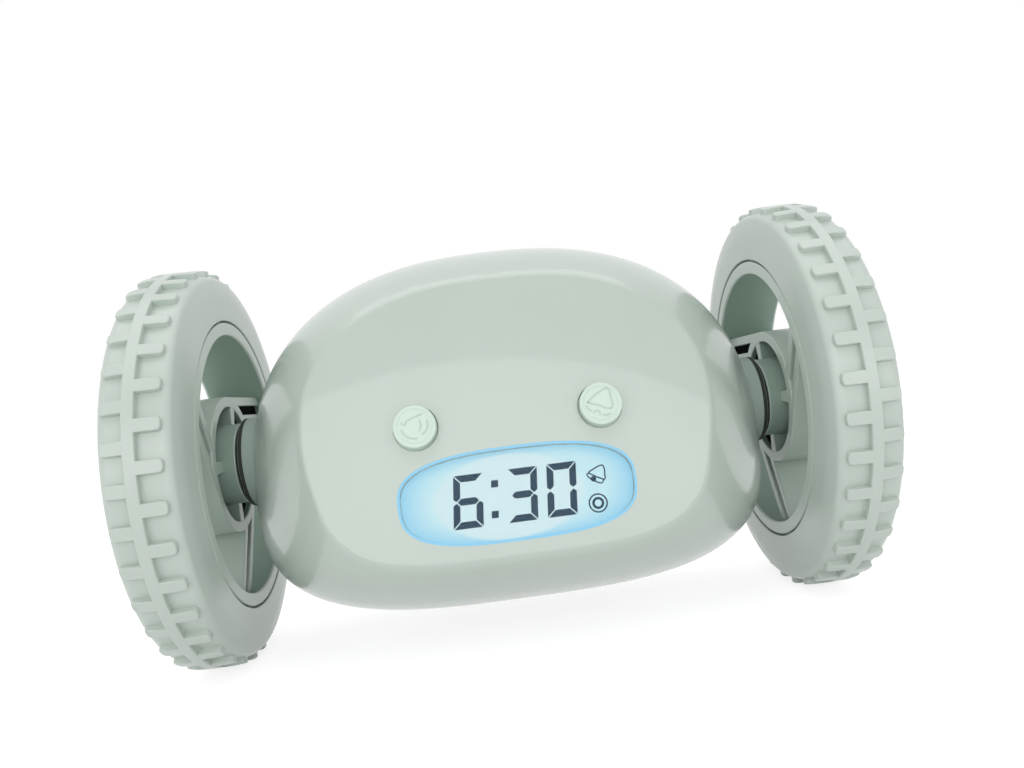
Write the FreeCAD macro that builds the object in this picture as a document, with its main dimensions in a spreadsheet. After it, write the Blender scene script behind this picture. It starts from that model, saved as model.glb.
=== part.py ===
import FreeCAD, Part
import math
import os
from types import SimpleNamespace
from FreeCAD import Placement, Rotation, Vector

# Runaway alarm clock: an egg-shaped clock body that hangs on two big treaded wheels.
# Frame: +Z up, X along the axle, the face looks along -Y, origin on the floor below
# the middle of the axle. All lengths are in millimetres and angles in degrees.

document = FreeCAD.newDocument("runaway_alarm_clock")
sheet = document.addObject("Spreadsheet::Sheet", "sizes")

DRIVING_SIZES = {
    # body shells
    "body_half_width": 57.98,
    "body_rise": 49.53,
    "body_fall": 30.14,
    "body_drop": 8.0,
    "front_depth": 42.0,
    "rear_depth": 40.0,
    "rise_power": 2.41,
    "fall_power": 3.14,
    "rear_power": 2.35,
    "wall": 2.2,
    "lip_length": 1.4,
    "neck_radius": 10.0,
    "neck_length": 1.4,
    # sloping face, measured from its foot line up the slope
    "face_lean": 11.5,
    "face_foot_ahead": 34.13,
    "face_foot_drop": 20.0,
    "face_bulge_radius": 300.0,
    "face_bulge_rise": 2.0,
    "face_bulge_up": 26.0,
    "crease_top": 1.8,
    "crease_foot": 3.2,
    # rear panel
    "rear_panel_ahead": 35.0,
    "rear_bulge_radius": 250.0,
    "rear_crease": 3.0,
    # display
    "window_half_width": 23.5,
    "window_rise": 8.8,
    "window_fall": 9.5,
    "window_power": 2.75,
    "window_up": 9.1,
    "lens_thickness": 1.2,
    "lens_ledge": 0.5,
    "panel_width": 48.0,
    "panel_height": 19.0,
    "panel_depth": 2.7,
    "panel_thickness": 1.8,
    "guide_thickness": 3.0,
    "frame_border": 1.5,
    "strip_width": 1.5,
    "lamp_width": 1.4,
    "board_thickness": 1.6,
    # face buttons
    "button_radius": 4.25,
    "button_proud": 2.3,
    "button_spread": 18.4,
    "button_up": 23.8,
    "button_gap": 0.25,
    "button_travel": 0.6,
    "switch_side": 6.0,
    "switch_height": 3.4,
    # rear set buttons
    "set_radius": 2.4,
    "set_proud": 0.9,
    "set_inner_spread": 16.0,
    "set_outer_spread": 24.0,
    "set_height": 53.0,
    "set_travel": 0.6,
    # speaker
    "speaker_radius": 9.0,
    "speaker_thickness": 5.0,
    "speaker_height": 60.0,
    "grille_hole_radius": 0.75,
    "grille_pitch": 2.7,
    # batteries
    "cell_radius": 5.25,
    "cell_length": 44.5,
    "cell_pitch": 10.8,
    "cell_ahead": 20.0,
    "cell_height": 35.0,
    "tray_wall": 1.0,
    "door_corner": 4.0,
    "door_margin": 1.6,
    "door_gap": 0.25,
    "door_screw_radius": 1.3,
    # screws
    "screw_radius": 1.25,
    "screw_head_radius": 2.3,
    "screw_head_height": 1.6,
    "boss_wall": 1.7,
    # drive
    "gear_module": 0.4,
    "small_teeth": 12,
    "large_teeth": 48,
    "gear_backlash": 0.09,
    "gear_width": 2.4,
    "case_wall": 1.3,
    "case_side_gap": 7.5,
    "motor_drop": 20.0,
    "motor_radius": 10.0,
    "motor_flat": 15.1,
    "motor_length": 25.0,
    "motor_shaft_radius": 1.0,
    "axle_radius": 2.0,
    "axle_end_radius": 1.5,
    "pin_radius": 0.9,
    "bush_wall": 2.4,
    "running_fit": 0.06,
    "seat_fit": 0.02,
    # wheel
    "wheel_diameter": 88.9,
    "wheel_gap": 2.52,
    "tyre_inner_half": 7.86,
    "tyre_outer_half": 7.0,
    "tyre_proud": 0.1,
    "flange_thickness": 1.6,
    "lug_height": 1.4,
    "barrel_radius": 29.5,
    "flange_radius": 32.35,
    "groove_width": 0.45,
    "tyre_seat_radius": 31.6,
    "hub_ring_radius": 15.6,
    "hub_ring_wall": 2.4,
    "hub_recess": 2.4,
    "sleeve_radius": 9.1,
    "sleeve_wall": 0.9,
    "hub_core_radius": 4.2,
    "web_thickness": 2.0,
    "spoke_wall": 2.2,
    "spoke_slot": 2.2,
    "spoke_count": 3,
    "rib_width": 2.3,
    "lug_count": 36,
    "lug_width": 2.6,
    "lug_corner": 0.95,
    "inner_lug_length": 5.4,
    "outer_lug_length": 3.4,
    "cap_radius": 8.0,
    "cap_height": 1.2,
    "cap_recess": 0.8,
}

for row, (alias, number) in enumerate(DRIVING_SIZES.items(), start=1):
    sheet.set(f"A{row}", alias.replace("_", " "))
    sheet.set(f"B{row}", str(number))
    sheet.setAlias(f"B{row}", alias)
document.recompute()
size = SimpleNamespace(**{alias: float(sheet.get(alias)) for alias in DRIVING_SIZES})

ALONG_X = Rotation(Vector(1, 1, 1), 120)
ORIGIN = Vector(0, 0, 0)
FAR = 500.0

# Places that several pieces share.
axle_height = size.wheel_diameter / 2
body_middle = axle_height - size.body_drop
wheel_x = size.body_half_width + size.wheel_gap
face = Placement(
    Vector(0, -size.face_foot_ahead, axle_height - size.face_foot_drop),
    Rotation(Vector(1, 0, 0), 90 - size.face_lean),
)
face_bulge_centre = face.multVec(
    Vector(0, size.face_bulge_up, size.face_bulge_rise - size.face_bulge_radius)
)
rear_bulge_centre = Vector(0, size.rear_panel_ahead - size.rear_bulge_radius, body_middle)

SUBPARTS = []


def keep(item, label):
    """Give a finished sub-part its own name and list it for export."""
    item.Label = label
    SUBPARTS.append(item)
    return item


def solid_feature(label, shape, placement=None):
    """A sub-part whose shape is worked out from the sheet by this file's own code."""
    item = document.addObject("Part::Feature", label)
    item.Shape = shape
    item.Placement = (placement or Placement()).multiply(shape.Placement)
    return keep(item, label)


def mirrored(source, label):
    """The left-hand twin of a right-hand sub-part."""
    item = document.addObject("Part::Mirroring", label)
    item.Source = source
    item.Base = ORIGIN
    item.Normal = Vector(1, 0, 0)
    return keep(item, label)


def bound(kind, name, rotation=None, **expressions):
    """A primitive whose sizes and place are bound to cells of the sheet."""
    item = document.addObject("Part::" + kind, name)
    item.Placement = Placement(ORIGIN, rotation or Rotation())
    for prop, text in expressions.items():
        path = "Placement.Base." + prop if prop in ("x", "y", "z") else prop
        item.setExpression(path, text)
    return item


def joined(name, items):
    item = document.addObject("Part::MultiFuse", name)
    item.Shapes = items
    return item


def cut_away(name, base, tool):
    item = document.addObject("Part::Cut", name)
    item.Base = base
    item.Tool = tool
    return item


def rounded(power, part):
    return math.copysign(abs(part) ** (2 / power), part)


def oval_wire(half_width, rise, fall, rise_power, fall_power, points=48):
    """Closed smooth curve in the XY plane, a superellipse with unlike halves."""
    corners = []
    for step in range(points):
        angle = 2 * math.pi * step / points - math.pi / 2
        height, power = (rise, rise_power) if math.sin(angle) > 0 else (fall, fall_power)
        corners.append(
            Vector(half_width * rounded(power, math.cos(angle)), height * rounded(power, math.sin(angle)), 0)
        )
    curve = Part.BSplineCurve()
    curve.interpolate(Points=corners, PeriodicFlag=True)
    return Part.Wire(curve.toShape())


def body_scale(y, inset):
    """Share of the full cross-section that is left at a distance y from the seam."""
    if y < 0:
        return math.sqrt(1 - (y / (size.front_depth - inset)) ** 2)
    depth = size.rear_depth - inset
    return (1 - (y / depth) ** size.rear_power) ** (1 / size.rear_power)


def egg(inset):
    """The body's closed outer form, or the same form drawn in by an inset."""
    front_turns = (74, 62, 50, 38, 25, 12, 0)
    rear_shares = (0.2, 0.4, 0.58, 0.73, 0.84, 0.92)
    stations = [-(size.front_depth - inset) * math.sin(math.radians(turn)) for turn in front_turns]
    stations += [(size.rear_depth - inset) * share for share in rear_shares]
    sections = []
    for y in stations:
        scale = body_scale(y, inset)
        wire = oval_wire(
            (size.body_half_width - inset) * scale,
            (size.body_rise - inset) * scale,
            (size.body_fall - inset) * scale,
            size.rise_power,
            size.fall_power,
        )
        wire.Placement = Placement(Vector(0, y, body_middle), Rotation(Vector(1, 0, 0), 90))
        sections.append(wire)
    return Part.makeLoft(sections, True, False)


def body_form(inset):
    """Egg form cut by the bulged face in front and the bulged panel behind."""
    face_ball = Part.makeSphere(size.face_bulge_radius - inset, face_bulge_centre)
    rear_ball = Part.makeSphere(size.rear_bulge_radius - inset, rear_bulge_centre)
    return egg(inset).common(face_ball).common(rear_ball)


def on_ball(edge, centre, radius):
    first, last = edge.ParameterRange
    spots = [edge.valueAt(first + (last - first) * share) for share in (0.1, 0.5, 0.9)]
    return all(abs(spot.distanceToPoint(centre) - radius) < 0.01 for spot in spots)


def creased_body():
    """Outer form with its creases rounded: made as one half, then mirrored."""
    half = body_form(0).common(Part.makeBox(FAR, 2 * FAR, 2 * FAR, Vector(0, -FAR, -FAR)))
    face_edges = [edge for edge in half.Edges if on_ball(edge, face_bulge_centre, size.face_bulge_radius)]
    face_edges = [edge for edge in face_edges if edge.BoundBox.XMax > 1]
    for edge in face_edges:
        low_first = edge.valueAt(edge.ParameterRange[0]).z < edge.valueAt(edge.ParameterRange[1]).z
        radii = (size.crease_foot, size.crease_top) if low_first else (size.crease_top, size.crease_foot)
        half = half.makeFillet(radii[0], radii[1], [edge])
    rear_edges = [edge for edge in half.Edges if on_ball(edge, rear_bulge_centre, size.rear_bulge_radius)]
    half = half.makeFillet(size.rear_crease, [edge for edge in rear_edges if edge.BoundBox.XMax > 1])
    return half.fuse(half.mirror(ORIGIN, Vector(1, 0, 0))).removeSplitter()


def slab(y_low, y_high):
    """Everything between two distances from the seam."""
    return Part.makeBox(2 * FAR, y_high - y_low, 2 * FAR, Vector(-FAR, y_low, -FAR))


def rod(start, direction, radius, length):
    return Part.makeCylinder(radius, length, start, direction)


def tube(start, direction, outer, inner, length):
    return rod(start, direction, outer, length).cut(rod(start, direction, inner, length))


def centred_box(width, height, low, high, x=0.0, y=0.0):
    """Box centred on (x, y) that reaches from low to high along Z."""
    return Part.makeBox(width, height, high - low, Vector(x - width / 2, y - height / 2, low))


def prism(wire, low, high):
    """Solid with a flat outline in the XY plane, from low to high along Z."""
    outline = wire.copy()
    outline.translate(Vector(0, 0, low))
    return Part.Face(outline).extrude(Vector(0, 0, high - low))


def placed(shape, placement):
    moved = shape.copy()
    moved.Placement = placement.multiply(moved.Placement)
    return moved


def union(shapes):
    return shapes[0].multiFuse(list(shapes[1:]))


# ---------------------------------------------------------------- body forms
outer_form = creased_body()
inner_form = body_form(size.wall)
clear_form = body_form(size.wall + 0.4)
core_form = body_form(size.wall / 2)
lip_gap_form = body_form(size.wall / 2 - 0.1)

# ---------------------------------------------------------------- screws
# Each housing screw enters from behind; its post is split at the seam.
POST_ROWS = ((axle_height + 25.5, 30.0), (axle_height - 32.0, 11.0))
HOUSING_POSTS = [(x, z) for z, reach in POST_ROWS for x in (-reach, reach)]
post_radius = size.screw_radius + size.boss_wall


def screw(length):
    """Pan-head screw along +Z with its head below Z = 0 and a cross recess."""
    head_low = Vector(0, 0, -size.screw_head_height)
    head = Part.makeCylinder(size.screw_head_radius, size.screw_head_height, head_low)
    head = head.makeFillet(size.screw_head_height * 0.4, [head.Edges[2]])
    shank = Part.makeCylinder(size.screw_radius, length)
    slot = size.screw_head_radius * 1.2
    recess_floor = -size.screw_head_height * 0.45
    bars = [
        centred_box(slot, slot / 4, -size.screw_head_height, recess_floor),
        centred_box(slot / 4, slot, -size.screw_head_height, recess_floor),
    ]
    return head.fuse(shank).cut(union(bars))


def screw_group(label, length, places):
    return solid_feature(label, Part.makeCompound([placed(screw(length), place) for place in places]))


HEAD_SEAT = 14.0
housing_screw_length = HEAD_SEAT + 10.0

# ---------------------------------------------------------------- drive places
pitch_small = size.gear_module * size.small_teeth / 2
pitch_large = size.gear_module * size.large_teeth / 2
gear_distance = pitch_small + pitch_large
case_x = size.body_half_width - size.wall - size.case_side_gap
case_inner_x = case_x - 3 * size.case_wall - 2 * size.gear_width
first_plane = case_inner_x + size.case_wall + 0.4
second_plane = first_plane + size.gear_width + 0.5
idler_shift = math.sqrt(gear_distance ** 2 - (size.motor_drop / 2) ** 2)
axle_spot = Vector(0, 0, axle_height)
idler_spot = Vector(0, idler_shift, axle_height - size.motor_drop / 2)
motor_spot = Vector(0, 0, axle_height - size.motor_drop)


def at(spot, x):
    """Placement whose local Z runs along +X through one of the drive's centres."""
    return Placement(Vector(x, spot.y, spot.z), ALONG_X)


def heading(start, end):
    return math.degrees(math.atan2(end.z - start.z, end.y - start.y))


# ---------------------------------------------------------------- gears
PRESSURE_ANGLE = math.radians(20)
ADDENDUM = 0.78
DEDENDUM = 1.15


def gear_blank(teeth, width, bore):
    """Spur gear along +Z with involute teeth; one tooth is centred on local +X."""
    pitch = size.gear_module * teeth / 2
    base = pitch * math.cos(PRESSURE_ANGLE)
    tip = pitch + ADDENDUM * size.gear_module
    root = pitch - DEDENDUM * size.gear_module
    half_tooth = math.pi / (2 * teeth) - size.gear_backlash / (2 * pitch)
    half_tooth += math.tan(PRESSURE_ANGLE) - PRESSURE_ANGLE
    flank_start = max(base, root)
    radii = [flank_start + (tip - flank_start) * step / 5 for step in range(6)]

    def spot(radius, angle):
        return Vector(radius * math.cos(angle), radius * math.sin(angle), 0)

    def lean(radius):
        turn = math.acos(min(1.0, base / radius))
        return half_tooth - (math.tan(turn) - turn)

    edges = []
    for tooth in range(int(teeth)):
        middle = 2 * math.pi * tooth / teeth
        next_middle = 2 * math.pi * (tooth + 1) / teeth
        rising = [spot(radius, middle - lean(radius)) for radius in radii]
        falling = [spot(radius, middle + lean(radius)) for radius in reversed(radii)]
        foot_in = spot(root, middle - lean(flank_start))
        foot_out = spot(root, middle + lean(flank_start))
        next_foot = spot(root, next_middle - lean(flank_start))
        for flank in (rising, falling):
            curve = Part.BSplineCurve()
            curve.interpolate(flank)
            edges.append(curve.toShape())
        edges.append(Part.makeLine(rising[-1], falling[0]))
        edges.append(Part.makeLine(foot_out, next_foot))
        if base > root:
            edges.append(Part.makeLine(foot_in, rising[0]))
            edges.append(Part.makeLine(falling[-1], foot_out))
    outline = Part.Wire(Part.__sortEdges__(edges))
    return prism(outline, 0, width).cut(Part.makeCylinder(bore, width))


def turned_gear(blank, angle):
    return placed(blank, Placement(ORIGIN, Rotation(Vector(0, 0, 1), angle)))


def gear_train():
    """Motor pinion, two-step idler and output gear of one side, teeth in mesh."""
    half_pitch = 180 / size.small_teeth
    small_bore = size.motor_shaft_radius + size.seat_fit
    pinion = gear_blank(size.small_teeth, size.gear_width, small_bore)
    pinion = turned_gear(pinion, heading(motor_spot, idler_spot) + half_pitch)
    right_pinion = solid_feature("motor_pinion_right", pinion, at(motor_spot, first_plane))
    bore = size.pin_radius + size.running_fit
    wide = turned_gear(gear_blank(size.large_teeth, size.gear_width, bore), heading(idler_spot, motor_spot))
    narrow = turned_gear(
        gear_blank(size.small_teeth, size.gear_width + 0.5, bore), heading(idler_spot, axle_spot) + half_pitch
    )
    narrow.translate(Vector(0, 0, size.gear_width))
    right_idler = solid_feature("idler_gear_right", wide.fuse(narrow), at(idler_spot, first_plane))
    output = gear_blank(size.large_teeth, size.gear_width, size.axle_radius + size.seat_fit)
    output = turned_gear(output, heading(axle_spot, idler_spot))
    hub_height = size.gear_width + 0.6
    hub = tube(ORIGIN, Vector(0, 0, 1), size.axle_radius + 1.6, size.axle_radius + size.seat_fit, hub_height)
    right_output = solid_feature("output_gear_right", output.fuse(hub), at(axle_spot, second_plane))
    mirrored(right_pinion, "motor_pinion_left")
    mirrored(right_idler, "idler_gear_left")
    mirrored(right_output, "output_gear_left")


gear_train()


# ---------------------------------------------------------------- motor and gear case
def case_plan(grow, low, high):
    """Outline of the gear case along the three gear centres, as a solid along X."""
    reach = pitch_large + size.gear_module + 1.0 + grow
    small_reach = pitch_small + 2.6 + grow
    length = high - low
    rounds = [
        rod(Vector(low, axle_spot.y, axle_spot.z), Vector(1, 0, 0), reach, length),
        rod(Vector(low, idler_spot.y, idler_spot.z), Vector(1, 0, 0), reach, length),
        rod(Vector(low, motor_spot.y, motor_spot.z), Vector(1, 0, 0), small_reach, length),
    ]
    return union(rounds)


case_high = second_plane + size.gear_width + 1.0
cover_high = case_high + size.case_wall
CASE_SCREW_SPOTS = [
    Vector(0, axle_spot.y - 10.6, axle_spot.z + 8.0),
    Vector(0, idler_spot.y + 7.2, idler_spot.z + 11.6),
    Vector(0, idler_spot.y + 4.0, idler_spot.z - 12.6),
]
case_ear_radius = size.screw_radius + 1.2
MOTOR_NOSE_RADIUS = 3.0


def motor_profile(grow, low, high):
    """Round motor can with two flats, as a solid along X."""
    can = rod(Vector(low, motor_spot.y, motor_spot.z), Vector(1, 0, 0), size.motor_radius + grow, high - low)
    flats = Part.makeBox(
        high - low,
        size.motor_flat + 2 * grow,
        4 * size.motor_radius,
        Vector(low, motor_spot.y - size.motor_flat / 2 - grow, motor_spot.z - 2 * size.motor_radius),
    )
    return can.common(flats)


def gear_case():
    """Tray that holds the gears; its collar grips the motor and its ears take screws."""
    towards_x = Vector(1, 0, 0)
    depth = case_high - case_inner_x
    hole_radius = size.screw_radius * 0.8 + size.seat_fit
    collar_low = case_inner_x - 5.0
    tray = case_plan(size.case_wall, case_inner_x, case_high)
    shell = tray.fuse(motor_profile(1.2, collar_low, case_inner_x))
    shell = shell.cut(case_plan(0, case_inner_x + size.case_wall, case_high))
    starts = [Vector(case_inner_x, spot.y, spot.z) for spot in CASE_SCREW_SPOTS]
    ears = [rod(start, towards_x, case_ear_radius, depth) for start in starts]
    cuts = [motor_profile(size.seat_fit, collar_low, case_inner_x)]
    for spot in CASE_SCREW_SPOTS:
        cuts.append(rod(Vector(case_high - 6.0, spot.y, spot.z), towards_x, hole_radius, 6.0))
    for spot, radius in (
        (axle_spot, size.axle_end_radius + size.running_fit),
        (motor_spot, MOTOR_NOSE_RADIUS + size.seat_fit),
        (idler_spot, size.pin_radius + size.seat_fit),
    ):
        cuts.append(rod(Vector(case_inner_x, spot.y, spot.z), towards_x, radius, size.case_wall))
    return shell.fuse(union(ears).cut(gear_room())).cut(union(cuts))


def gear_room():
    """Space that the turning gears need, with clearance."""
    towards_x = Vector(1, 0, 0)
    reach = pitch_large + size.gear_module + 0.4
    low = case_inner_x + size.case_wall
    spots = (axle_spot, idler_spot)
    return union([rod(Vector(low, spot.y, spot.z), towards_x, reach, FAR) for spot in spots])


def gear_case_cover():
    """Flat lid of the gear case, with a seat for the idler pin."""
    towards_x = Vector(1, 0, 0)
    wall = size.case_wall
    starts = [Vector(case_high, spot.y, spot.z) for spot in CASE_SCREW_SPOTS]
    ears = [rod(start, towards_x, case_ear_radius, wall) for start in starts]
    lid = union([case_plan(wall, case_high, cover_high)] + ears)
    holes = [(axle_spot, size.axle_radius + size.running_fit), (idler_spot, size.pin_radius + size.seat_fit)]
    holes += [(spot, size.screw_radius * 0.8 + size.seat_fit) for spot in CASE_SCREW_SPOTS]
    drills = [rod(Vector(case_high, spot.y, spot.z), towards_x, radius, wall) for spot, radius in holes]
    return lid.cut(union(drills))


def case_screw():
    """Small screw that closes the gear case, along -X, head outside the cover."""
    shank = rod(Vector(cover_high, 0, 0), Vector(-1, 0, 0), size.screw_radius * 0.8, 6.0)
    head = rod(Vector(cover_high, 0, 0), Vector(1, 0, 0), size.screw_radius * 1.5, 1.2)
    slot_low = Vector(cover_high + 0.6, -0.3, -2 * size.screw_radius)
    slot = Part.makeBox(0.6, 0.6, 4 * size.screw_radius, slot_low)
    return shank.fuse(head).cut(slot)


def drive_unit():
    """Case, cover, motor, shaft, pin and screws of the right side and their left twins."""
    mirrored(solid_feature("gear_case_right", gear_case()), "gear_case_left")
    mirrored(solid_feature("gear_case_cover_right", gear_case_cover()), "gear_case_cover_left")
    motor = document.addObject("Part::Feature", "motor_right")
    can = motor_profile(0, case_inner_x - size.motor_length, case_inner_x)
    nose = rod(Vector(case_inner_x, 0, motor_spot.z), Vector(1, 0, 0), MOTOR_NOSE_RADIUS, 1.2)
    tail = rod(Vector(case_inner_x - size.motor_length, 0, motor_spot.z), Vector(-1, 0, 0), 2.5, 1.6)
    shaft_low = case_inner_x - size.motor_length
    shaft_radius = size.motor_shaft_radius + size.running_fit
    shaft_room = rod(Vector(shaft_low, 0, motor_spot.z), Vector(1, 0, 0), shaft_radius, FAR)
    motor.Shape = union([can, nose, tail]).cut(shaft_room)
    mirrored(keep(motor, "motor_right"), "motor_left")
    shaft = bound(
        "Cylinder",
        "motor_shaft_right",
        ALONG_X,
        Radius="sizes.motor_shaft_radius",
        Height=f"sizes.motor_length + {first_plane - case_inner_x + 0.3:.6g} + sizes.gear_width",
        x=f"{shaft_low:.6g}",
        z="sizes.wheel_diameter / 2 - sizes.motor_drop",
    )
    mirrored(keep(shaft, "motor_shaft_right"), "motor_shaft_left")
    pin_length = cover_high - case_inner_x
    pin = bound(
        "Cylinder",
        "idler_pin_right",
        ALONG_X,
        Radius="sizes.pin_radius",
        Height=f"{pin_length:.6g}",
        x=f"{case_inner_x:.6g}",
        y=f"{idler_spot.y:.6g}",
        z="sizes.wheel_diameter / 2 - sizes.motor_drop / 2",
    )
    mirrored(keep(pin, "idler_pin_right"), "idler_pin_left")
    right = [placed(case_screw(), Placement(spot, Rotation())) for spot in CASE_SCREW_SPOTS]
    left = [item.mirror(ORIGIN, Vector(1, 0, 0)) for item in right]
    solid_feature("gear_case_screws", Part.makeCompound(right + left))


drive_unit()


# ---------------------------------------------------------------- axle and bush
neck_end = size.body_half_width + size.neck_length
bush_outer = size.axle_radius + size.bush_wall
hub_low = wheel_x + size.hub_recess
rib_middle = wheel_x - size.tyre_proud + size.tyre_inner_half
rim_outer_x = rib_middle + size.tyre_outer_half - size.tyre_proud
web_high = rim_outer_x - 1.0
cap_seat_x = web_high - size.cap_recess
web_low = web_high - size.web_thickness


def axle_and_bush():
    """Stepped steel axle and the plain bush that carries it in the body's neck."""
    towards_x = Vector(1, 0, 0)
    thin = rod(Vector(case_inner_x, 0, 0), towards_x, size.axle_end_radius, second_plane - case_inner_x)
    thick = rod(Vector(second_plane, 0, 0), towards_x, size.axle_radius, cap_seat_x - second_plane)
    screw_hole = rod(Vector(cap_seat_x - 7, 0, 0), towards_x, size.screw_radius * 0.8 + size.seat_fit, 7)
    axle = thin.fuse(thick).cut(screw_hole)
    mirrored(solid_feature("axle_right", axle, Placement(axle_spot, Rotation())), "axle_left")
    bush_low = cover_high
    body = bound(
        "Cylinder",
        "bush_body",
        ALONG_X,
        Radius="sizes.axle_radius + sizes.bush_wall",
        Height=f"sizes.body_half_width + sizes.neck_length - {bush_low:.6g}",
        x=f"{bush_low:.6g}",
        z="sizes.wheel_diameter / 2",
    )
    flange = bound(
        "Cylinder",
        "bush_flange",
        ALONG_X,
        Radius="sizes.axle_radius + sizes.bush_wall + 1.4",
        Height="1.2",
        x=f"{bush_low:.6g}",
        z="sizes.wheel_diameter / 2",
    )
    bore = bound(
        "Cylinder",
        "bush_bore",
        ALONG_X,
        Radius="sizes.axle_radius + sizes.running_fit",
        Height="sizes.body_half_width",
        x=f"{bush_low:.6g}",
        z="sizes.wheel_diameter / 2",
    )
    bush = cut_away("axle_bush_right", joined("bush_turned", [body, flange]), bore)
    mirrored(keep(bush, "axle_bush_right"), "axle_bush_left")


axle_and_bush()


# ---------------------------------------------------------------- wheel
def turned(profile):
    """Solid of revolution about X from (x, radius) corners."""
    corners = [Vector(x, 0, radius) for x, radius in profile]
    outline = Part.makePolygon(corners + corners[:1])
    return Part.Face(outline).revolve(ORIGIN, Vector(1, 0, 0), 360)


def around_axle(shape, count):
    """Copies of a shape, evenly turned about X."""
    turns = [Rotation(Vector(1, 0, 0), 360 * turn / count) for turn in range(int(count))]
    return [placed(shape, Placement(ORIGIN, turn)) for turn in turns]


def channel_spoke():
    """One spoke: a channel that leaves the hub ring at a tangent, open towards the body."""
    outer = size.hub_ring_radius
    slot_top = outer - size.spoke_wall
    slot_foot = slot_top - size.spoke_slot
    foot = slot_foot - size.spoke_wall
    reach = size.barrel_radius + 1.0
    block = Part.makeBox(web_high - hub_low, reach, outer - foot, Vector(hub_low, 0, foot))
    slot = Part.makeBox(web_low - hub_low, reach, slot_top - slot_foot, Vector(hub_low, 0, slot_foot))
    return block.cut(slot)


def radial_rib():
    """Rib between the hub sleeve and the hub ring, standing straight up."""
    foot = size.sleeve_radius - 0.6
    top = size.hub_ring_radius - size.hub_ring_wall / 2
    corners = [(-1.15, foot), (1.15, foot), (1.5, top), (-1.5, top)]
    outline = Part.makePolygon([Vector(hub_low, y, z) for y, z in corners + corners[:1]])
    return Part.Face(outline).extrude(Vector(web_low - hub_low, 0, 0))


# Turns of the hub ribs about the axle; the upper one leans to the rear.
RIB_TURNS = (-14.0, 90.0, 183.0, 270.0)


def wheel_rim():
    """Moulded rim: barrel with two flanges, hub ring, sleeve, core, web and spokes."""
    seat_low = wheel_x + size.flange_thickness
    seat_high = rim_outer_x - size.flange_thickness
    barrel = turned(
        [
            (wheel_x, size.barrel_radius),
            (wheel_x, size.flange_radius),
            (seat_low, size.flange_radius),
            (seat_low, size.tyre_seat_radius),
            (seat_high, size.tyre_seat_radius),
            (seat_high, size.flange_radius),
            (rim_outer_x, size.flange_radius),
            (rim_outer_x, size.barrel_radius),
        ]
    )
    ring = turned(
        [
            (hub_low, size.hub_ring_radius - size.hub_ring_wall),
            (hub_low, size.hub_ring_radius),
            (web_high, size.hub_ring_radius),
            (web_high, size.hub_ring_radius - size.hub_ring_wall),
        ]
    )
    bore = size.axle_radius + size.seat_fit
    hub = turned(
        [
            (wheel_x, size.sleeve_radius - size.sleeve_wall),
            (wheel_x, size.sleeve_radius),
            (web_low, size.sleeve_radius),
            (web_low, size.hub_ring_radius),
            (web_high, size.hub_ring_radius),
            (web_high, bore),
            (hub_low, bore),
            (hub_low, size.hub_core_radius),
            (web_low, size.hub_core_radius),
            (web_low, size.sleeve_radius - size.sleeve_wall),
        ]
    )
    count = size.spoke_count
    spokes = around_axle(channel_spoke(), count)
    room = Part.makeCylinder(size.barrel_radius + 0.5, FAR, ORIGIN, Vector(1, 0, 0))
    inner_room = Part.makeCylinder(size.hub_ring_radius - 0.5, FAR, ORIGIN, Vector(1, 0, 0))
    spokes = [spoke.common(room).cut(inner_room) for spoke in spokes]
    ribs = [placed(radial_rib(), Placement(ORIGIN, Rotation(Vector(1, 0, 0), turn))) for turn in RIB_TURNS]
    sleeve_room = Part.makeCylinder(size.sleeve_radius - 0.3, FAR, ORIGIN, Vector(1, 0, 0))
    ribs = [rib.cut(sleeve_room) for rib in ribs]
    pocket = rod(Vector(cap_seat_x, 0, 0), Vector(1, 0, 0), size.cap_radius + 0.1, FAR)
    return union([barrel, ring, hub] + spokes + ribs).cut(pocket)


def tyre_side(side, half):
    """Corners of one side of the tyre's section, from its seat to the middle rib."""
    bead = half - size.tyre_proud - size.flange_thickness - size.seat_fit
    mouth = size.flange_radius + size.groove_width
    shoulder = size.wheel_diameter / 2 - size.lug_height
    half_rib = size.rib_width / 2
    corners = [
        (bead, size.tyre_seat_radius + size.seat_fit),
        (bead, mouth),
        (half, mouth),
        (half - 0.2, shoulder - 4.0),
        (half - 0.7, shoulder - 1.6),
        (half - 1.2, shoulder - 0.6),
        (half - 2.0, shoulder),
        (half_rib + 0.15, shoulder),
        (half_rib, size.wheel_diameter / 2),
    ]
    return [(rib_middle + side * offset, radius) for offset, radius in corners]


def lug(side, length):
    """One cross bar on a shoulder, with a rounded end, standing on the wheel's top."""
    root = rib_middle + side * (size.rib_width / 2 - 0.3)
    low_x = min(root, root + side * (length + 0.3))
    low = Vector(low_x, -size.lug_width / 2, 0)
    bar = Part.makeBox(length + 0.3, size.lug_width, size.wheel_diameter, low)
    end_x = low_x + (length + 0.3 if side > 0 else 0)
    end_edges = [edge for edge in bar.Edges if edge.Length > size.wheel_diameter - 1]
    end_edges = [edge for edge in end_edges if abs(edge.CenterOfMass.x - end_x) < 0.01]
    bar = bar.makeFillet(size.lug_corner, end_edges)
    crown = size.wheel_diameter / 2
    band = tube(ORIGIN, Vector(1, 0, 0), crown, crown - size.lug_height - 1.5, FAR)
    return bar.common(band)


def tyre():
    """Soft tyre: side walls, a middle rib and cross lugs that are staggered on the shoulders."""
    inner = tyre_side(-1, size.tyre_inner_half)
    outer = tyre_side(1, size.tyre_outer_half)
    carcass = turned(inner + outer[::-1])
    stagger = Placement(ORIGIN, Rotation(Vector(1, 0, 0), 180 / size.lug_count))
    inner_lugs = around_axle(placed(lug(-1, size.inner_lug_length), stagger), size.lug_count)
    outer_lugs = around_axle(lug(1, size.outer_lug_length), size.lug_count)
    return union([carcass] + inner_lugs + outer_lugs)


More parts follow.
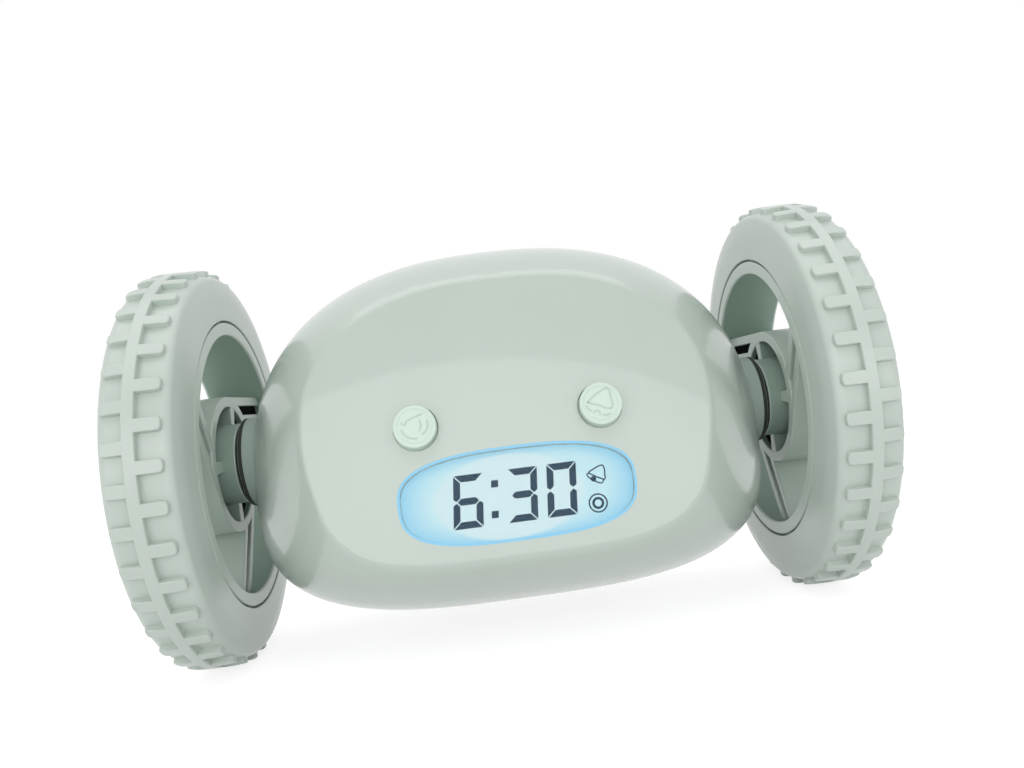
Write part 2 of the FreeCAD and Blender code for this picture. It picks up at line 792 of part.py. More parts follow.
def wheel():
    """Rim, tyre, hub screw and hub cap of the right side and their left twins."""
    on_axle = Placement(axle_spot, Rotation())
    mirrored(solid_feature("wheel_rim_right", wheel_rim(), on_axle), "wheel_rim_left")
    mirrored(solid_feature("tyre_right", tyre(), on_axle), "tyre_left")
    inward = Placement(Vector(cap_seat_x, 0, axle_height), Rotation(Vector(0, 1, 0), -90))
    head_room = size.cap_height + size.cap_recess
    shank = Part.makeCylinder(size.screw_radius * 0.8, 6.0)
    head = Part.makeCylinder(size.axle_radius + 1.2, head_room - 0.9, Vector(0, 0, 0.9 - head_room))
    mirrored(solid_feature("hub_screw_right", shank.fuse(head), inward), "hub_screw_left")
    cap_high = cap_seat_x + head_room
    cap = turned(
        [
            (cap_seat_x, 0),
            (cap_seat_x, size.cap_radius),
            (cap_high - 0.7, size.cap_radius),
            (cap_high, size.cap_radius - 1.4),
            (cap_high, 0),
        ]
    )
    cap = cap.cut(rod(Vector(cap_seat_x, 0, 0), Vector(1, 0, 0), size.axle_radius + 1.3, head_room - 0.8))
    mirrored(solid_feature("hub_cap_right", cap, on_axle), "hub_cap_left")


wheel()


# ---------------------------------------------------------------- display
def window_wire(draw_in):
    """Barrel-shaped outline of the display window in the face plane."""
    outline = oval_wire(
        size.window_half_width - draw_in,
        size.window_rise - draw_in,
        size.window_fall - draw_in,
        size.window_power,
        size.window_power + 0.3,
        points=36,
    )
    outline.translate(Vector(0, size.window_up, 0))
    return outline


def window_prism(draw_in):
    return placed(prism(window_wire(draw_in), -15, 15), face)


def face_ball(inset):
    return Part.makeSphere(size.face_bulge_radius - inset, face_bulge_centre)


guide_back = size.panel_depth + size.panel_thickness + size.guide_thickness
frame_height = size.panel_height + 2 * size.frame_border
board_front = -guide_back
board_back = board_front - size.board_thickness


def face_block(name, width, height, depth, across, up, front):
    """Box on the sloping face, bound to the sheet and measured along the face."""
    item = bound("Box", name, Length=width, Width=height, Height=depth)
    spans = [float(item.evalExpression(text)) for text in (width, height, depth)]
    low = Vector(across - spans[0] / 2, up - spans[1] / 2, front - spans[2])
    item.Placement = face.multiply(Placement(low, Rotation()))
    return item


def display():
    """Lens, LCD panel, light guide, frame, contact strips and backlight lamps."""
    clear_lens = window_prism(0.05).common(face_ball(0)).cut(face_ball(size.lens_thickness))
    solid_feature("display_lens", clear_lens)
    up = size.window_up
    panel_front = -size.panel_depth
    panel_size = ("sizes.panel_width", "sizes.panel_height", "sizes.panel_thickness")
    keep(face_block("lcd_panel", *panel_size, 0, up, panel_front), "lcd_panel")
    guide_front = panel_front - size.panel_thickness
    guide = face_block(
        "light_guide",
        "sizes.panel_width - 2 * sizes.lamp_width - 0.4",
        "sizes.panel_height - 2 * sizes.strip_width - 0.4",
        "sizes.guide_thickness",
        0,
        up,
        guide_front,
    )
    keep(guide, "light_guide")
    strips = []
    lamps = []
    for side in (-1, 1):
        strip_up = up + side * (size.panel_height - size.strip_width) / 2
        low = Vector(-size.panel_width / 2 + 1, strip_up - size.strip_width / 2, board_front)
        strips.append(Part.makeBox(size.panel_width - 2, size.strip_width, size.guide_thickness, low))
        across = side * (size.panel_width - size.lamp_width) / 2
        lamps.append(centred_box(size.lamp_width, 5.0, board_front, board_front + 2.4, across, up))
    solid_feature("contact_strips", Part.makeCompound(strips), face)
    solid_feature("backlight_lamps", Part.makeCompound(lamps), face)
    frame_width = size.panel_width + 2 * size.frame_border
    ring = centred_box(frame_width, frame_height, board_front, panel_front - 0.9, 0, up)
    upright = [edge for edge in ring.Edges if abs(edge.tangentAt(edge.FirstParameter).z) > 0.9]
    ring = ring.makeFillet(3.0, upright)
    ring = ring.cut(centred_box(size.panel_width + 0.1, size.panel_height + 0.1, -FAR, FAR, 0, up))
    solid_feature("display_frame", placed(ring, face).common(clear_form))


display()


# ---------------------------------------------------------------- main board and face buttons
BUTTON_SPOTS = [Vector(side * size.button_spread, size.button_up, 0) for side in (-1, 1)]
BOARD_POSTS = [Vector(x, up, 0) for x, up in ((-30.0, 12.0), (30.0, 12.0), (-22.0, 38.5), (22.0, 38.5))]
board_post_radius = 2.4


def main_board():
    """Printed board behind the display, cut to follow the shell."""
    sheet_of_board = centred_box(68.0, 45.0, board_back, board_front, 0, 19.0)
    hole = size.screw_radius + 0.1
    holes = [rod(Vector(spot.x, spot.y, -FAR / 2), Vector(0, 0, 1), hole, FAR) for spot in BOARD_POSTS]
    board = placed(sheet_of_board.cut(union(holes)), face).common(clear_form)
    solid_feature("main_board", board)
    chips = [
        centred_box(9.0, 7.0, board_back - 1.8, board_back, 0, 22.0),
        centred_box(6.0, 5.0, board_back - 1.6, board_back, -14.0, 10.0),
        centred_box(6.0, 5.0, board_back - 1.6, board_back, 14.0, 10.0),
        Part.makeCylinder(1.5, 6.0, Vector(8.0, 32.0, board_back - 6.0)),
        Part.makeCylinder(2.5, 7.0, Vector(-9.0, 34.0, board_back - 7.0)),
    ]
    solid_feature("board_components", Part.makeCompound(chips), face)
    switches = []
    for spot in BUTTON_SPOTS:
        top = board_front + size.switch_height
        block = centred_box(size.switch_side, size.switch_side, board_front, top, spot.x, spot.y)
        well = Part.makeCylinder(2.3, 1.0, Vector(spot.x, spot.y, top - 0.5))
        switches.append(block.cut(well))
    solid_feature("face_switches", Part.makeCompound(switches), face)


def face_button(label, spot):
    """Round push button: domed cap, flange behind the shell and a stem to its switch."""
    off_centre = spot.x ** 2 + (spot.y - size.face_bulge_up) ** 2
    surface = size.face_bulge_rise - off_centre / (2 * size.face_bulge_radius)
    inner = surface - size.wall - 0.55
    top = surface + size.button_proud
    cap = Part.makeCylinder(size.button_radius, top - inner, Vector(0, 0, inner))
    cap = cap.makeFillet(0.6, [edge for edge in cap.Edges if edge.CenterOfMass.z > top - 0.01])
    flange = Part.makeCylinder(size.button_radius + 1.3, 0.6, Vector(0, 0, inner - 0.6))
    stem_end = board_front + size.switch_height + size.button_travel + 0.1
    stem = Part.makeCylinder(2.0, inner - 0.6 - stem_end, Vector(0, 0, stem_end))
    place = face.multiply(Placement(spot, Rotation()))
    solid_feature(label, union([cap, flange, stem]), place)


main_board()
face_button("wheel_button", BUTTON_SPOTS[0])
face_button("alarm_button", BUTTON_SPOTS[1])


# ---------------------------------------------------------------- rear panel pieces
SET_SPOTS = [
    ("hour_button", -size.set_outer_spread),
    ("minute_button", -size.set_inner_spread),
    ("time_button", size.set_inner_spread),
    ("alarm_set_button", size.set_outer_spread),
]
rear_board_y = size.rear_panel_ahead - 12.2
SET_SWITCH_HEIGHT = 2.4
REAR_BOARD_POSTS = (-30.0, 30.0)


def rear_surface(x, z):
    """Distance of the rear panel's outer surface from the seam."""
    offset = math.hypot(x, z - body_middle)
    return math.sqrt(size.rear_bulge_radius ** 2 - offset ** 2) + rear_bulge_centre.y


def backwards(x, y, z):
    """Placement whose local Z runs along +Y."""
    return Placement(Vector(x, y, z), Rotation(Vector(1, 0, 0), -90))


def set_button(label, x):
    """Small rear button with a flange behind the shell and a stem to its switch."""
    surface = rear_surface(x, size.set_height)
    inner = surface - size.wall - 0.6
    cap = Part.makeCylinder(size.set_radius, surface + size.set_proud - inner, Vector(0, 0, inner))
    cap = cap.makeFillet(0.4, [edge for edge in cap.Edges if edge.CenterOfMass.z > surface])
    flange = Part.makeCylinder(size.set_radius + 0.9, 0.7, Vector(0, 0, inner - 0.7))
    stem_end = rear_board_y + size.board_thickness + SET_SWITCH_HEIGHT + size.set_travel + 0.1
    stem = Part.makeCylinder(1.3, inner - 0.7 - stem_end, Vector(0, 0, stem_end))
    solid_feature(label, union([cap, flange, stem]), backwards(x, 0, size.set_height))


def rear_board():
    """Narrow board for the set buttons, in front of the speaker."""
    board = Part.makeBox(66.0, size.board_thickness, 9.6, Vector(-33.0, rear_board_y, size.set_height - 4.8))
    hole = size.screw_radius + 0.1
    holes = [rod(Vector(x, 0, size.set_height), Vector(0, 1, 0), hole, FAR) for x in REAR_BOARD_POSTS]
    solid_feature("rear_switch_board", board.cut(union(holes)).common(clear_form))
    switches = []
    front = rear_board_y + size.board_thickness
    for _, x in SET_SPOTS:
        block = centred_box(4.6, 4.6, 0, SET_SWITCH_HEIGHT)
        well = Part.makeCylinder(1.6, 1.0, Vector(0, 0, SET_SWITCH_HEIGHT - 0.4))
        switches.append(placed(block.cut(well), backwards(x, front, size.set_height)))
    solid_feature("set_switches", Part.makeCompound(switches))


speaker_front = rear_surface(0, size.speaker_height + size.speaker_radius) - size.wall - 0.9


def speaker():
    """Small round speaker: basket with a magnet behind and a dished cone in front."""
    radius = size.speaker_radius
    depth = size.speaker_thickness
    basket = Part.makeCylinder(radius, depth * 0.5, Vector(0, 0, -depth * 0.5))
    magnet = Part.makeCylinder(radius * 0.6, depth * 0.5, Vector(0, 0, -depth))
    dish = Part.makeCone(radius * 0.3, radius * 0.85, depth * 0.3, Vector(0, 0, -depth * 0.3))
    solid_feature("speaker", basket.fuse(magnet).cut(dish), backwards(0, speaker_front, size.speaker_height))


for button_label, button_x in SET_SPOTS:
    set_button(button_label, button_x)
rear_board()
speaker()


# ---------------------------------------------------------------- batteries
CELL_SPOTS = [
    Vector(0, size.cell_ahead + row * size.cell_pitch / 2, size.cell_height + level * size.cell_pitch / 2)
    for row in (-1, 1)
    for level in (-1, 1)
]
tray_half_width = size.cell_length / 2 + 1.1 + size.tray_wall
tray_half_height = size.cell_pitch / 2 + size.cell_radius + 0.3 + size.tray_wall
tray_front_y = size.cell_ahead - size.cell_pitch / 2 - size.cell_radius - 0.3 - size.tray_wall
tray_rear_y = rear_surface(tray_half_width, size.cell_height - tray_half_height) - size.wall - 0.5
door_half_width = tray_half_width + size.door_margin
door_half_height = tray_half_height + 0.4
door_boss_radius = size.door_screw_radius * 1.5
door_screw_z = size.cell_height + tray_half_height + door_boss_radius + 0.1


def battery_outline(half_width, half_height, corner):
    """Rounded block along Y, centred on the batteries."""
    block = Part.makeBox(
        2 * half_width, FAR, 2 * half_height, Vector(-half_width, 0, size.cell_height - half_height)
    )
    return block.makeFillet(corner, [edge for edge in block.Edges if edge.Length > FAR / 2])


def door_tab(grow):
    """Tab with a round end above the door that takes its screw."""
    reach = 3.4 + grow
    low = size.cell_height
    round_end = rod(Vector(0, 0, door_screw_z), Vector(0, 1, 0), reach, FAR)
    return round_end.fuse(Part.makeBox(2 * reach, FAR, door_screw_z - low, Vector(-reach, 0, low)))


def door_region(grow):
    plan = battery_outline(door_half_width + grow, door_half_height + grow, size.door_corner)
    return plan.fuse(door_tab(grow))


def batteries():
    """Open tray, four cells, end contacts, and the door with its screw."""
    outer = Part.makeBox(
        2 * tray_half_width,
        tray_rear_y - tray_front_y,
        2 * tray_half_height,
        Vector(-tray_half_width, tray_front_y, size.cell_height - tray_half_height),
    )
    wall = size.tray_wall
    hollow = Part.makeBox(
        2 * (tray_half_width - wall),
        FAR,
        2 * (tray_half_height - wall),
        Vector(wall - tray_half_width, tray_front_y + wall, size.cell_height - tray_half_height + wall),
    )
    solid_feature("battery_tray", outer.cut(hollow))
    cells = []
    contacts = []
    for index, spot in enumerate(CELL_SPOTS):
        start = spot - Vector(size.cell_length / 2, 0, 0)
        can = rod(start, Vector(1, 0, 0), size.cell_radius, size.cell_length - 1.0)
        nub = rod(start + Vector(size.cell_length - 1.0, 0, 0), Vector(1, 0, 0), 1.9, 1.0)
        cell = can.fuse(nub)
        if index % 2:
            cell = cell.mirror(ORIGIN, Vector(1, 0, 0))
        cells.append(cell)
        for side in (-1, 1):
            low = Vector(side * (size.cell_length / 2 + 0.3) - 0.3, spot.y - 4.0, spot.z - 4.0)
            contacts.append(Part.makeBox(0.6, 8.0, 8.0, low))
    solid_feature("battery_cells", Part.makeCompound(cells))
    solid_feature("battery_contacts", Part.makeCompound(contacts))
    panel_skin = outer_form.cut(inner_form)
    door = panel_skin.common(door_region(0)).common(slab(size.rear_panel_ahead / 2, FAR))
    screw_y = rear_surface(0, door_screw_z)
    hole = rod(Vector(0, 0, door_screw_z), Vector(0, 1, 0), size.door_screw_radius * 0.8 + size.seat_fit, FAR)
    head_low = screw_y - 1.0
    sink = rod(Vector(0, head_low, door_screw_z), Vector(0, 1, 0), size.door_screw_radius * 1.7 + 0.1, FAR)
    solid_feature("battery_door", door.cut(hole).cut(sink))
    shank = rod(Vector(0, head_low - 5.0, door_screw_z), Vector(0, 1, 0), size.door_screw_radius * 0.8, 5.0)
    head = rod(Vector(0, head_low, door_screw_z), Vector(0, 1, 0), size.door_screw_radius * 1.7, 0.9)
    slot = Part.makeBox(FAR, 0.5, 0.5, Vector(-FAR / 2, head_low + 0.5, door_screw_z - 0.25))
    solid_feature("door_screw", shank.fuse(head).cut(slot))


batteries()


# ---------------------------------------------------------------- housings
def necks():
    """Round necks that reach from the body's sides to the hub sleeves."""
    start = size.body_half_width - size.wall - 1.5
    sides = [Vector(side, 0, 0) for side in (-1, 1)]
    return union([rod(axle_spot + side * start, side, size.neck_radius, neck_end - start) for side in sides])


def housing_post(x, z, y_low, y_high):
    """Screw post that ends in the shell's wall."""
    return rod(Vector(x, y_low, z), Vector(0, 1, 0), post_radius, y_high - y_low).common(core_form)


def front_housing():
    """Front half shell with the sloping face, window, button holes and posts."""
    shell = outer_form.cut(inner_form).common(slab(-FAR, 0))
    shell = shell.fuse(necks().common(slab(-FAR, 0)))
    posts = [housing_post(x, z, -FAR / 4, 0) for x, z in HOUSING_POSTS]
    shell = union([shell] + posts)
    board_posts = []
    for spot in BOARD_POSTS:
        post = placed(Part.makeCylinder(board_post_radius, 20.0, Vector(spot.x, spot.y, board_front)), face)
        board_posts.append(post.common(core_form))
    shell = union([shell] + board_posts)
    cuts = [
        window_prism(0).cut(face_ball(size.lens_thickness)),
        window_prism(size.lens_ledge),
        lip_gap_form.cut(inner_form).common(slab(-size.lip_length - 0.1, 0)),
    ]
    for spot in BUTTON_SPOTS:
        hole = Part.makeCylinder(size.button_radius + size.button_gap, 30.0, spot - Vector(0, 0, 15.0))
        cuts.append(placed(hole, face))
    for spot in BOARD_POSTS:
        hole = Part.makeCylinder(size.screw_radius + size.seat_fit, 6.0, Vector(spot.x, spot.y, board_front))
        cuts.append(placed(hole, face))
    for x, z in HOUSING_POSTS:
        cuts.append(rod(Vector(x, -10.5, z), Vector(0, 1, 0), size.screw_radius + size.seat_fit, 10.5))
    cuts.append(rod(axle_spot - Vector(FAR, 0, 0), Vector(1, 0, 0), bush_outer + size.seat_fit, 2 * FAR))
    solid_feature("front_housing", shell.cut(cuts))


def rear_housing():
    """Rear half shell with its lip, door opening, grille, button holes and posts."""
    shell = outer_form.cut(inner_form).common(slab(0, FAR))
    lip = core_form.cut(inner_form).common(slab(-size.lip_length, 0.01))
    lip = lip.cut(rod(axle_spot - Vector(FAR, 0, 0), Vector(1, 0, 0), size.neck_radius + 0.1, 2 * FAR))
    shell = union([shell, lip, necks().common(slab(0, FAR))])
    posts = [housing_post(x, z, 0, FAR / 4) for x, z in HOUSING_POSTS]
    ring_start = Vector(0, speaker_front - size.speaker_thickness / 2, size.speaker_height)
    ring = tube(ring_start, Vector(0, 1, 0), size.speaker_radius + 1.3, size.speaker_radius + 0.05, FAR / 4)
    posts.append(ring.common(core_form))
    boss = rod(Vector(0, speaker_front - 1.5, door_screw_z), Vector(0, 1, 0), door_boss_radius, FAR / 4)
    posts.append(boss.common(core_form))
    for x in REAR_BOARD_POSTS:
        start = Vector(x, rear_board_y + size.board_thickness, size.set_height)
        posts.append(rod(start, Vector(0, 1, 0), 2.1, FAR / 4).common(core_form))
    shell = union([shell] + posts)
    cuts = [door_region(size.door_gap).cut(clear_form).common(slab(size.rear_panel_ahead / 2, FAR))]
    cuts.append(rod(Vector(0, 0, door_screw_z), Vector(0, 1, 0), size.door_screw_radius * 0.8 + 0.1, FAR))
    for _, x in SET_SPOTS:
        start = Vector(x, size.rear_panel_ahead - 8, size.set_height)
        cuts.append(rod(start, Vector(0, 1, 0), size.set_radius + 0.2, FAR))
    for x in REAR_BOARD_POSTS:
        start = Vector(x, rear_board_y + size.board_thickness, size.set_height)
        cuts.append(rod(start, Vector(0, 1, 0), size.screw_radius + size.seat_fit, 5.0))
    for x, z in HOUSING_POSTS:
        cuts.append(rod(Vector(x, 0, z), Vector(0, 1, 0), size.screw_radius + 0.15, HEAD_SEAT))
        cuts.append(rod(Vector(x, HEAD_SEAT, z), Vector(0, 1, 0), size.screw_head_radius + 0.2, FAR))
    cuts.append(rod(axle_spot - Vector(FAR, 0, 0), Vector(1, 0, 0), bush_outer + size.seat_fit, 2 * FAR))
    for ring_number, holes in ((0, 1), (1, 6), (2, 12)):
        for hole in range(holes):
            angle = 2 * math.pi * hole / holes
            x = ring_number * size.grille_pitch * math.cos(angle)
            z = size.speaker_height + ring_number * size.grille_pitch * math.sin(angle)
            cuts.append(rod(Vector(x, speaker_front, z), Vector(0, 1, 0), size.grille_hole_radius, FAR))
    solid_feature("rear_housing", shell.cut(cuts))


def fasteners():
    """Screws that close the housings and hold the boards."""
    turn_front = Rotation(Vector(1, 0, 0), 90)
    places = [Placement(Vector(x, HEAD_SEAT, z), turn_front) for x, z in HOUSING_POSTS]
    screw_group("housing_screws", housing_screw_length, places)
    on_board = [Vector(spot.x, spot.y, board_back) for spot in BOARD_POSTS]
    board_places = [face.multiply(Placement(spot, Rotation())) for spot in on_board]
    board_places += [backwards(x, rear_board_y, size.set_height) for x in REAR_BOARD_POSTS]
    screw_group("board_screws", 5.5, board_places)


front_housing()
rear_housing()
fasteners()

# ---------------------------------------------------------------- check and export
document.recompute()
for item in document.Objects:
    if "Invalid" in item.State or "Error" in item.State:
        raise RuntimeError(f"{item.Label} did not recompute")
os.makedirs("parts", exist_ok=True)
for item in SUBPARTS:
    if item.Shape.isNull() or not item.Shape.isValid():
        raise RuntimeError(f"{item.Label} has no valid shape")
    item.Shape.exportStep(f"parts/{item.Label}.step")
    print(item.Label, len(item.Shape.Solids), round(item.Shape.Volume, 1))
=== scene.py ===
import math

import bmesh
import bpy
from mathutils import Matrix, Vector


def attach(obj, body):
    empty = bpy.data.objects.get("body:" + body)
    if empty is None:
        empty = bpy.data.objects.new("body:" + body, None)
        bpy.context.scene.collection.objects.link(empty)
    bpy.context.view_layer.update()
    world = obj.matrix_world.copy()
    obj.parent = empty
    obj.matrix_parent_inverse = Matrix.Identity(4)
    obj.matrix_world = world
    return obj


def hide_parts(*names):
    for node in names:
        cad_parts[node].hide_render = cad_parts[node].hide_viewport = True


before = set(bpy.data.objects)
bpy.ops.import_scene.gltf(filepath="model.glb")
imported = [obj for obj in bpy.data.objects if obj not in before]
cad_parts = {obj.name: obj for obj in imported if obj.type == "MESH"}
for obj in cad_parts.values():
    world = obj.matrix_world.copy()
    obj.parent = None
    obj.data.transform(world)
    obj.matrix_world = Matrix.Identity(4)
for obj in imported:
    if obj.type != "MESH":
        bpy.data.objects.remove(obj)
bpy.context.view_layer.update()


# ------------------------------------------------------------- camera
# Stands 20 cm in front of the axle and a little above it, turned a touch to the right and
# tipped by 7 degrees, with the middle of its view set slightly off the lens axis.
LENS = 29.49
SENSOR = 36
VIEW_SHIFT = (-0.0218, 0.0102)
NEAREST = 0.01
EYE = Vector((-0.00419, -0.19706, 0.05183))
YAW = 0.0593
TIP = -0.1236
ahead = Vector((math.sin(YAW), math.cos(YAW), 0))
level = Vector((math.cos(YAW), -math.sin(YAW), 0))
to_right = math.cos(TIP) * level + math.sin(TIP) * Vector((0, 0, 1))
to_top = to_right.cross(ahead)
camera = bpy.data.objects.new("camera", bpy.data.cameras.new("camera"))
camera.data.lens = LENS
camera.data.sensor_width = SENSOR
camera.data.clip_start = NEAREST
camera.data.shift_x, camera.data.shift_y = VIEW_SHIFT
view_turn = Matrix((to_right, to_top, -ahead)).transposed().to_4x4()
camera.matrix_world = Matrix.Translation(EYE) @ view_turn
bpy.context.collection.objects.link(camera)
bpy.context.scene.camera = camera
bpy.context.scene.view_settings.view_transform = "Standard"


# ------------------------------------------------------------- studio
# A white table that runs out of sight, one broad lamp overhead and one low in front.
# The lamp in front is an oval, so its reflection ends in a soft curve on the face.
ROOM_LIGHT = 0.70
BACKDROP_LIGHT = 1.0
TABLE_HALF = 6
PAPER_WHITE = 0.86
SEEN_PAPER_WHITE = 0.45
SEEN_PAPER_LIGHT = 0.78


def seen_ray(nodes, links):
    """Value that is 1 for rays that show the background: seen, mirrored or through glass."""
    path = nodes.new("ShaderNodeLightPath")
    total = None
    for output in ("Is Camera Ray", "Is Glossy Ray", "Is Transmission Ray"):
        if total is None:
            total = path.outputs[output]
            continue
        step = nodes.new("ShaderNodeMath")
        step.operation = "MAXIMUM"
        links.new(total, step.inputs[0])
        links.new(path.outputs[output], step.inputs[1])
        total = step.outputs[0]
    return total


def lit_room():
    """White world: plain light for the clock, a full white for every ray that shows it."""
    world = bpy.data.worlds.new("studio")
    world.use_nodes = True
    nodes, links = world.node_tree.nodes, world.node_tree.links
    nodes.clear()
    room = nodes.new("ShaderNodeBackground")
    room.inputs["Color"].default_value = (1, 1, 1, 1)
    room.inputs["Strength"].default_value = ROOM_LIGHT
    backdrop = nodes.new("ShaderNodeBackground")
    backdrop.inputs["Color"].default_value = (1, 1, 1, 1)
    backdrop.inputs["Strength"].default_value = BACKDROP_LIGHT
    either = nodes.new("ShaderNodeMixShader")
    out = nodes.new("ShaderNodeOutputWorld")
    links.new(seen_ray(nodes, links), either.inputs["Fac"])
    links.new(room.outputs[0], either.inputs[1])
    links.new(backdrop.outputs[0], either.inputs[2])
    links.new(either.outputs[0], out.inputs["Surface"])
    return world


def white_paper():
    """Paper that shows as white and still keeps the shadow of what stands on it."""
    material = bpy.data.materials.new("white_paper")
    material.use_nodes = True
    nodes, links = material.node_tree.nodes, material.node_tree.links
    nodes.clear()
    plain = nodes.new("ShaderNodeBsdfDiffuse")
    plain.inputs["Color"].default_value = (PAPER_WHITE, PAPER_WHITE, PAPER_WHITE, 1)
    shaded = nodes.new("ShaderNodeBsdfDiffuse")
    shaded.inputs["Color"].default_value = (SEEN_PAPER_WHITE, SEEN_PAPER_WHITE, SEEN_PAPER_WHITE, 1)
    lift = nodes.new("ShaderNodeEmission")
    lift.inputs["Color"].default_value = (1, 1, 1, 1)
    lift.inputs["Strength"].default_value = SEEN_PAPER_LIGHT
    lifted = nodes.new("ShaderNodeAddShader")
    either = nodes.new("ShaderNodeMixShader")
    out = nodes.new("ShaderNodeOutputMaterial")
    links.new(seen_ray(nodes, links), either.inputs["Fac"])
    links.new(lift.outputs[0], lifted.inputs[0])
    links.new(shaded.outputs[0], lifted.inputs[1])
    links.new(plain.outputs[0], either.inputs[1])
    links.new(lifted.outputs[0], either.inputs[2])
    links.new(either.outputs[0], out.inputs["Surface"])
    return material


bpy.context.scene.world = lit_room()
table_mesh = bpy.data.meshes.new("table")
corners = [(x * TABLE_HALF, y * TABLE_HALF, 0) for x, y in ((-1, -1), (1, -1), (1, 1), (-1, 1))]
table_mesh.from_pydata(corners, [], [(0, 1, 2, 3)])
table_mesh.materials.append(white_paper())
table = bpy.data.objects.new("table", table_mesh)
bpy.context.collection.objects.link(table)


def softbox(name, shape, place, aim, size, power):
    """Area lamp that shines at a spot and isn't seen by the camera."""
    lamp = bpy.data.lights.new(name, "AREA")
    lamp.shape = shape
    lamp.size, lamp.size_y = size
    lamp.energy = power
    item = bpy.data.objects.new(name, lamp)
    item.location = place
    item.rotation_euler = (Vector(aim) - Vector(place)).to_track_quat("-Z", "Y").to_euler()
    item.visible_camera = False
    bpy.context.collection.objects.link(item)


softbox(
    "lamp_overhead", "RECTANGLE", place=(0, -0.15, 1.1), aim=(0, 0, 0), size=(1.4, 1.2), power=4.5
)
softbox(
    "lamp_front", "ELLIPSE", place=(-0.18, -1, 0), aim=(-0.18, 0, 0), size=(2.2, 1.24), power=9.8
)


# ------------------------------------------------------------- body shells
# Two glossy half shells of moulded plastic, joined at the widest line by four screws
# from behind. Their corners are rounded in the mould. Face and back bulge like a ball.
MM = 0.001
FACE_FOOT = (0, -34.13 * MM, 24.45 * MM)
FACE_TURN = math.radians(90 - 11.5)
FACE = Matrix.Translation(FACE_FOOT) @ Matrix.Rotation(FACE_TURN, 4, "X")
BULGE_RADIUS = 300
BULGE_RISE = 2
BULGE_UP = 26
REAR_BULGE_RADIUS = 250
REAR_PANEL = 35
BODY_MIDDLE = 36.45
FACE_BULGE = (FACE @ (Vector((0, BULGE_UP, BULGE_RISE - BULGE_RADIUS)) * MM), BULGE_RADIUS * MM)
REAR_BULGE = (Vector((0, REAR_PANEL - REAR_BULGE_RADIUS, BODY_MIDDLE)) * MM, REAR_BULGE_RADIUS * MM)
ON_BALL = 0.02 * MM
FACING_OUT = 0.97
SAME_SPOT = 0.002 * MM
NECK_START = 57.7 * MM
SHELL_MINT = (0.425, 0.495, 0.442)
NECK_SHADED_MINT = (0.33, 0.41, 0.365)


def colour_ramp(nodes, *stops):
    """Ramp between two stops, each a position and a colour."""
    ramp = nodes.new("ShaderNodeValToRGB")
    for element, (position, colour) in zip(ramp.color_ramp.elements, stops):
        element.position = position
        element.color = (*colour, 1)
    return ramp


def plastic(name, colour, roughness, grain=0.15, grain_size=0.0006, cloud=0.03):
    """Moulded plastic: faint clouds in the colour, fine grain in the gloss and the relief."""
    material = bpy.data.materials.new(name)
    material.use_nodes = True
    nodes, links = material.node_tree.nodes, material.node_tree.links
    shader = nodes["Principled BSDF"]
    place = nodes.new("ShaderNodeTexCoord").outputs["Object"]
    clouds = nodes.new("ShaderNodeTexNoise")
    clouds.inputs["Scale"].default_value = 55
    clouds.inputs["Detail"].default_value = 3
    darker = [part * (1 - cloud) for part in colour]
    lighter = [min(1, part * (1 + cloud)) for part in colour]
    shade = colour_ramp(nodes, (0.3, darker), (0.7, lighter))
    fine = nodes.new("ShaderNodeTexNoise")
    fine.inputs["Scale"].default_value = 1 / grain_size
    fine.inputs["Detail"].default_value = 2
    gloss = nodes.new("ShaderNodeMapRange")
    gloss.inputs["To Min"].default_value = roughness * (1 - grain)
    gloss.inputs["To Max"].default_value = roughness * (1 + grain)
    relief = nodes.new("ShaderNodeBump")
    relief.inputs["Strength"].default_value = grain
    relief.inputs["Distance"].default_value = grain_size * 0.05
    for texture in (clouds, fine):
        links.new(place, texture.inputs["Vector"])
    links.new(clouds.outputs["Fac"], shade.inputs["Fac"])
    links.new(shade.outputs["Color"], shader.inputs["Base Color"])
    links.new(fine.outputs["Fac"], gloss.inputs["Value"])
    links.new(gloss.outputs["Result"], shader.inputs["Roughness"])
    links.new(fine.outputs["Fac"], relief.inputs["Height"])
    links.new(relief.outputs["Normal"], shader.inputs["Normal"])
    return material


def tuned(material, settings):
    """Set further inputs of a material's shader."""
    for socket, amount in settings.items():
        material.node_tree.nodes["Principled BSDF"].inputs[socket].default_value = amount
    return material


def piece_of(form, name, *materials):
    """Make an object of a finished form, with its place in its mesh."""
    mesh = bpy.data.meshes.new(name)
    form.to_mesh(mesh)
    form.free()
    for material in materials:
        mesh.materials.append(material)
    piece = bpy.data.objects.new(name, mesh)
    bpy.context.collection.objects.link(piece)
    return piece


def smoothly_shaded(piece, sharp):
    """Shade a piece smooth, but for its edges of more than so many degrees."""
    for face in piece.data.polygons:
        face.use_smooth = True
    piece.data.set_sharp_from_angle(angle=math.radians(sharp))


def even_normals(piece):
    """Let the larger faces lead the shading across rounded edges."""
    weigh = piece.modifiers.new("even_normals", "WEIGHTED_NORMAL")
    weigh.weight = 50
    weigh.keep_sharp = True


def evaluated_mesh(piece):
    """Plain mesh of a piece with its modifiers worked in."""
    scene_state = bpy.context.evaluated_depsgraph_get()
    return bpy.data.meshes.new_from_object(piece.evaluated_get(scene_state))


